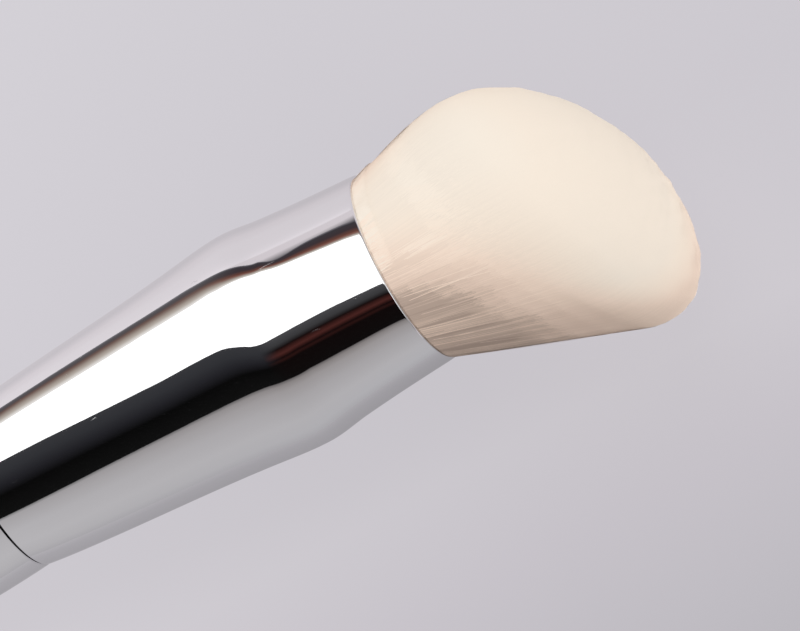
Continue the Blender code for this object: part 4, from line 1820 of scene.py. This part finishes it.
    def cards(self, axes: BrushAxes) -> None:
        """Stand the cards round the plating: dark strip, soft edge, white sheet, black sheet and pale sheet.

        Args:
            axes: Where the brush lies.
        """
        dark_top = [
            (-150, 101), (-110, 95), (-80, 90), (-56, 86), (-50.3, 84), (-44.3, 83), (-38.1, 81.2),
            (-34, 79.5), (-30.4, 77.7), (-27.9, 76.3), (-24.3, 72.9), (-19.7, 70.1), (-16.9, 68.8),
            (-14.9, 67.3), (-13.8, 64.9), (-13.3, 62.1), (-12.2, 58.4), (-11.3, 57.7), (-10.4, 59.1),
            (-9.3, 60.5), (-8.4, 61.4), (-6.3, 61.4), (-4.1, 60.7), (-2.9, 59.6), (6, 57),
        ]
        dark_low = [
            (-150, 97), (-110, 90), (-80, 82), (-56, 75), (-50.3, 74.4), (-43.8, 72.3), (-38.1, 71.1),
            (-34.7, 69.9), (-31.4, 68.4), (-27.6, 65.9), (-23.9, 63.5), (-21.7, 61.6), (-18.6, 59.1),
            (-15.9, 57.8), (-14.3, 57.2), (-13.4, 56.3), (-13, 54.7), (-12.1, 53.2), (-11, 52.2),
            (-9, 51.2), (-6.8, 49.7), (-4.7, 48.2), (-2.5, 46.4), (6, 42),
        ]
        white_top = [
            (-150, 88), (-110, 80), (-80, 72), (-56, 65), (-50, 63.3), (-44, 62), (-38, 61), (-34, 60.3),
            (-30, 58.8), (-27.3, 57.4), (-23.5, 56.6), (-21.3, 55.1), (-18.3, 54.6), (-15.7, 54.6),
            (-14.1, 54.4), (-13.3, 53.6), (-13, 52.3), (-12.1, 50.9), (-11, 49.9), (-8.9, 48.9),
            (-6.8, 47.5), (-4.7, 46.2), (-2.5, 44.1), (6, 39),
        ]
        white_low = [
            (-150, 62), (-110, 50), (-80, 38), (-56, 26.2), (-50.3, 23.4), (-44.2, 19.8), (-38, 16.5),
            (-33.7, 14.4), (-30.5, 13.9), (-27.8, 13), (-26.1, 12.4), (-24.1, 10.8), (-21.8, 7.3),
            (-18.7, 3.1), (-15.7, 0.9), (-13.8, 0.5), (-12.8, 0.5), (-10, 0.2), (-7.9, -0.3), (-5.9, -1.4),
            (-3.9, -2.5), (-2.7, -3), (6, -6),
        ]
        black_low = [
            (-150, -27), (-56, -27.2), (-44, -27.4), (-35, -28), (-24, -28.1), (-21.9, -28.6),
            (-19.1, -29.7), (-16.2, -31.1), (-14.2, -32.3), (-13.1, -33.6), (-12.3, -34.6), (-10.4, -35.3),
            (-8.3, -36.5), (-6.3, -37.2), (-4.3, -38.1), (-3.2, -38.9), (6, -43),
        ]
        pale_low = [(-150, -95), (6, -95)]
        white, soft = (1.6, 1.6, 1.6), (0.26, 0.20, 0.17)
        lit = [(0, white), (1, white)]
        dark = [
            (0, soft), (0.25, (0.16, 0.10, 0.085)), (0.5, (0.095, 0.08, 0.082)),
            (0.8, (0.105, 0.10, 0.108)), (1, (0.24, 0.23, 0.25)),
        ]
        dark_tip = [
            (0, (0.3, 0.16, 0.13)), (0.15, (0.15, 0.06, 0.045)), (0.45, (0.05, 0.036, 0.04)),
            (0.85, (0.048, 0.043, 0.05)), (1, (0.2, 0.19, 0.21)),
        ]
        faded = [(0, (0.95, 0.93, 0.90)), (0.5, (0.5, 0.45, 0.40)), (1, soft)]
        black = [
            (0, (0.006, 0.006, 0.006)), (0.4, (0.003, 0.003, 0.003)), (0.6, (0.018, 0.018, 0.022)),
            (0.8, (0.033, 0.034, 0.039)), (1, (0.042, 0.043, 0.048)),
        ]
        black_tip = [
            (0, (0.005, 0.004, 0.004)), (0.42, (0.005, 0.003, 0.003)), (0.48, (0.025, 0.008, 0.007)),
            (0.53, (0.007, 0.003, 0.003)), (0.62, (0.07, 0.02, 0.017)), (0.67, (0.045, 0.013, 0.011)),
            (0.74, (0.008, 0.004, 0.004)), (0.84, (0.045, 0.045, 0.048)), (1, (0.07, 0.07, 0.075)),
        ]
        pale = [
            (0, (0.43, 0.42, 0.44)), (0.15, (0.485, 0.475, 0.49)), (0.4, (0.52, 0.51, 0.525)),
            (0.7, (0.50, 0.49, 0.505)), (0.96, (0.42, 0.405, 0.415)), (1, (0.2, 0.2, 0.2)),
        ]
        pale_tip = [
            (0, (0.44, 0.435, 0.455)), (0.15, (0.48, 0.475, 0.495)), (0.4, (0.49, 0.48, 0.495)),
            (0.7, (0.425, 0.41, 0.42)), (0.88, (0.355, 0.335, 0.335)), (0.96, (0.26, 0.24, 0.235)),
            (1, (0.12, 0.11, 0.11)),
        ]
        for card in (
            Card("dark_strip", dark_low, dark_top, dark, dark_tip),
            Card("soft_edge", white_top, dark_low, faded, faded),
            Card("white_sheet", white_low, white_top, lit, lit),
            Card("black_sheet", black_low, white_low, black, black_tip, (-17.0, -13.5)),
            Card("pale_sheet", pale_low, black_low, pale, pale_tip, (-60.0, -10.0)),
        ):
            card.build(axes)

    def build(self, axes: BrushAxes) -> None:
        """Set up the whole studio.

        Args:
            axes: Where the brush lies.
        """
        self.floor()
        self.surroundings()
        self.lamp(axes)
        self.cards(axes)


def dress_inner_parts(effects: SharedEffects) -> None:
    """Finish the CAD nodes that stay: the drawn cup, the cast resin and the moulded sleeve.

    Args:
        effects: The shared node groups.
    """
    finishes = {
        Node.CUP: GrainedFinish(
            "drawn_cup", (0.80, 0.81, 0.82), (0.68, 0.69, 0.71), metal=1.0, rough=0.32, grain=2400.0,
            depth=0.00002,
        ),
        Node.RESIN: GrainedFinish(
            "cast_resin", (0.66, 0.50, 0.27), (0.45, 0.30, 0.13), metal=0.0, rough=0.18, grain=900.0,
            depth=0.00003, clear=0.35,
        ),
        Node.COUPLER: GrainedFinish(
            "moulded_sleeve", (0.15, 0.147, 0.145), (0.10, 0.098, 0.10), metal=0.0, rough=0.55, grain=3000.0,
            depth=0.00003,
        ),
    }
    for node, finish in finishes.items():
        materials = frame["nodes"][node.value].data.materials
        materials.clear()
        materials.append(finish.build(effects))
        LOG.info("finish %s on %s", finish.name, node.value)


def main() -> None:
    """Build the brush's pieces, its studio and its camera, in order."""
    logging.basicConfig(level=logging.INFO, format="%(name)s: %(message)s")
    ferrule, handle = Ferrule(), Handle()
    axes = BrushAxes.from_record(frame["record"], handle.length + handle.seam_gap + ferrule.length)
    PhotoCamera().build(axes)
    effects = SharedEffects()
    report(ferrule.build(axes, MirrorPlate("ferrule_plating").build(effects)))
    report(handle.build(axes, MirrorPlate("handle_plating").build(effects)))
    dress_inner_parts(effects)
    FibreHead().build(axes)
    Studio().build(axes)
    bpy.context.scene.view_settings.view_transform = "Standard"


if __name__ == "__main__":
    main()
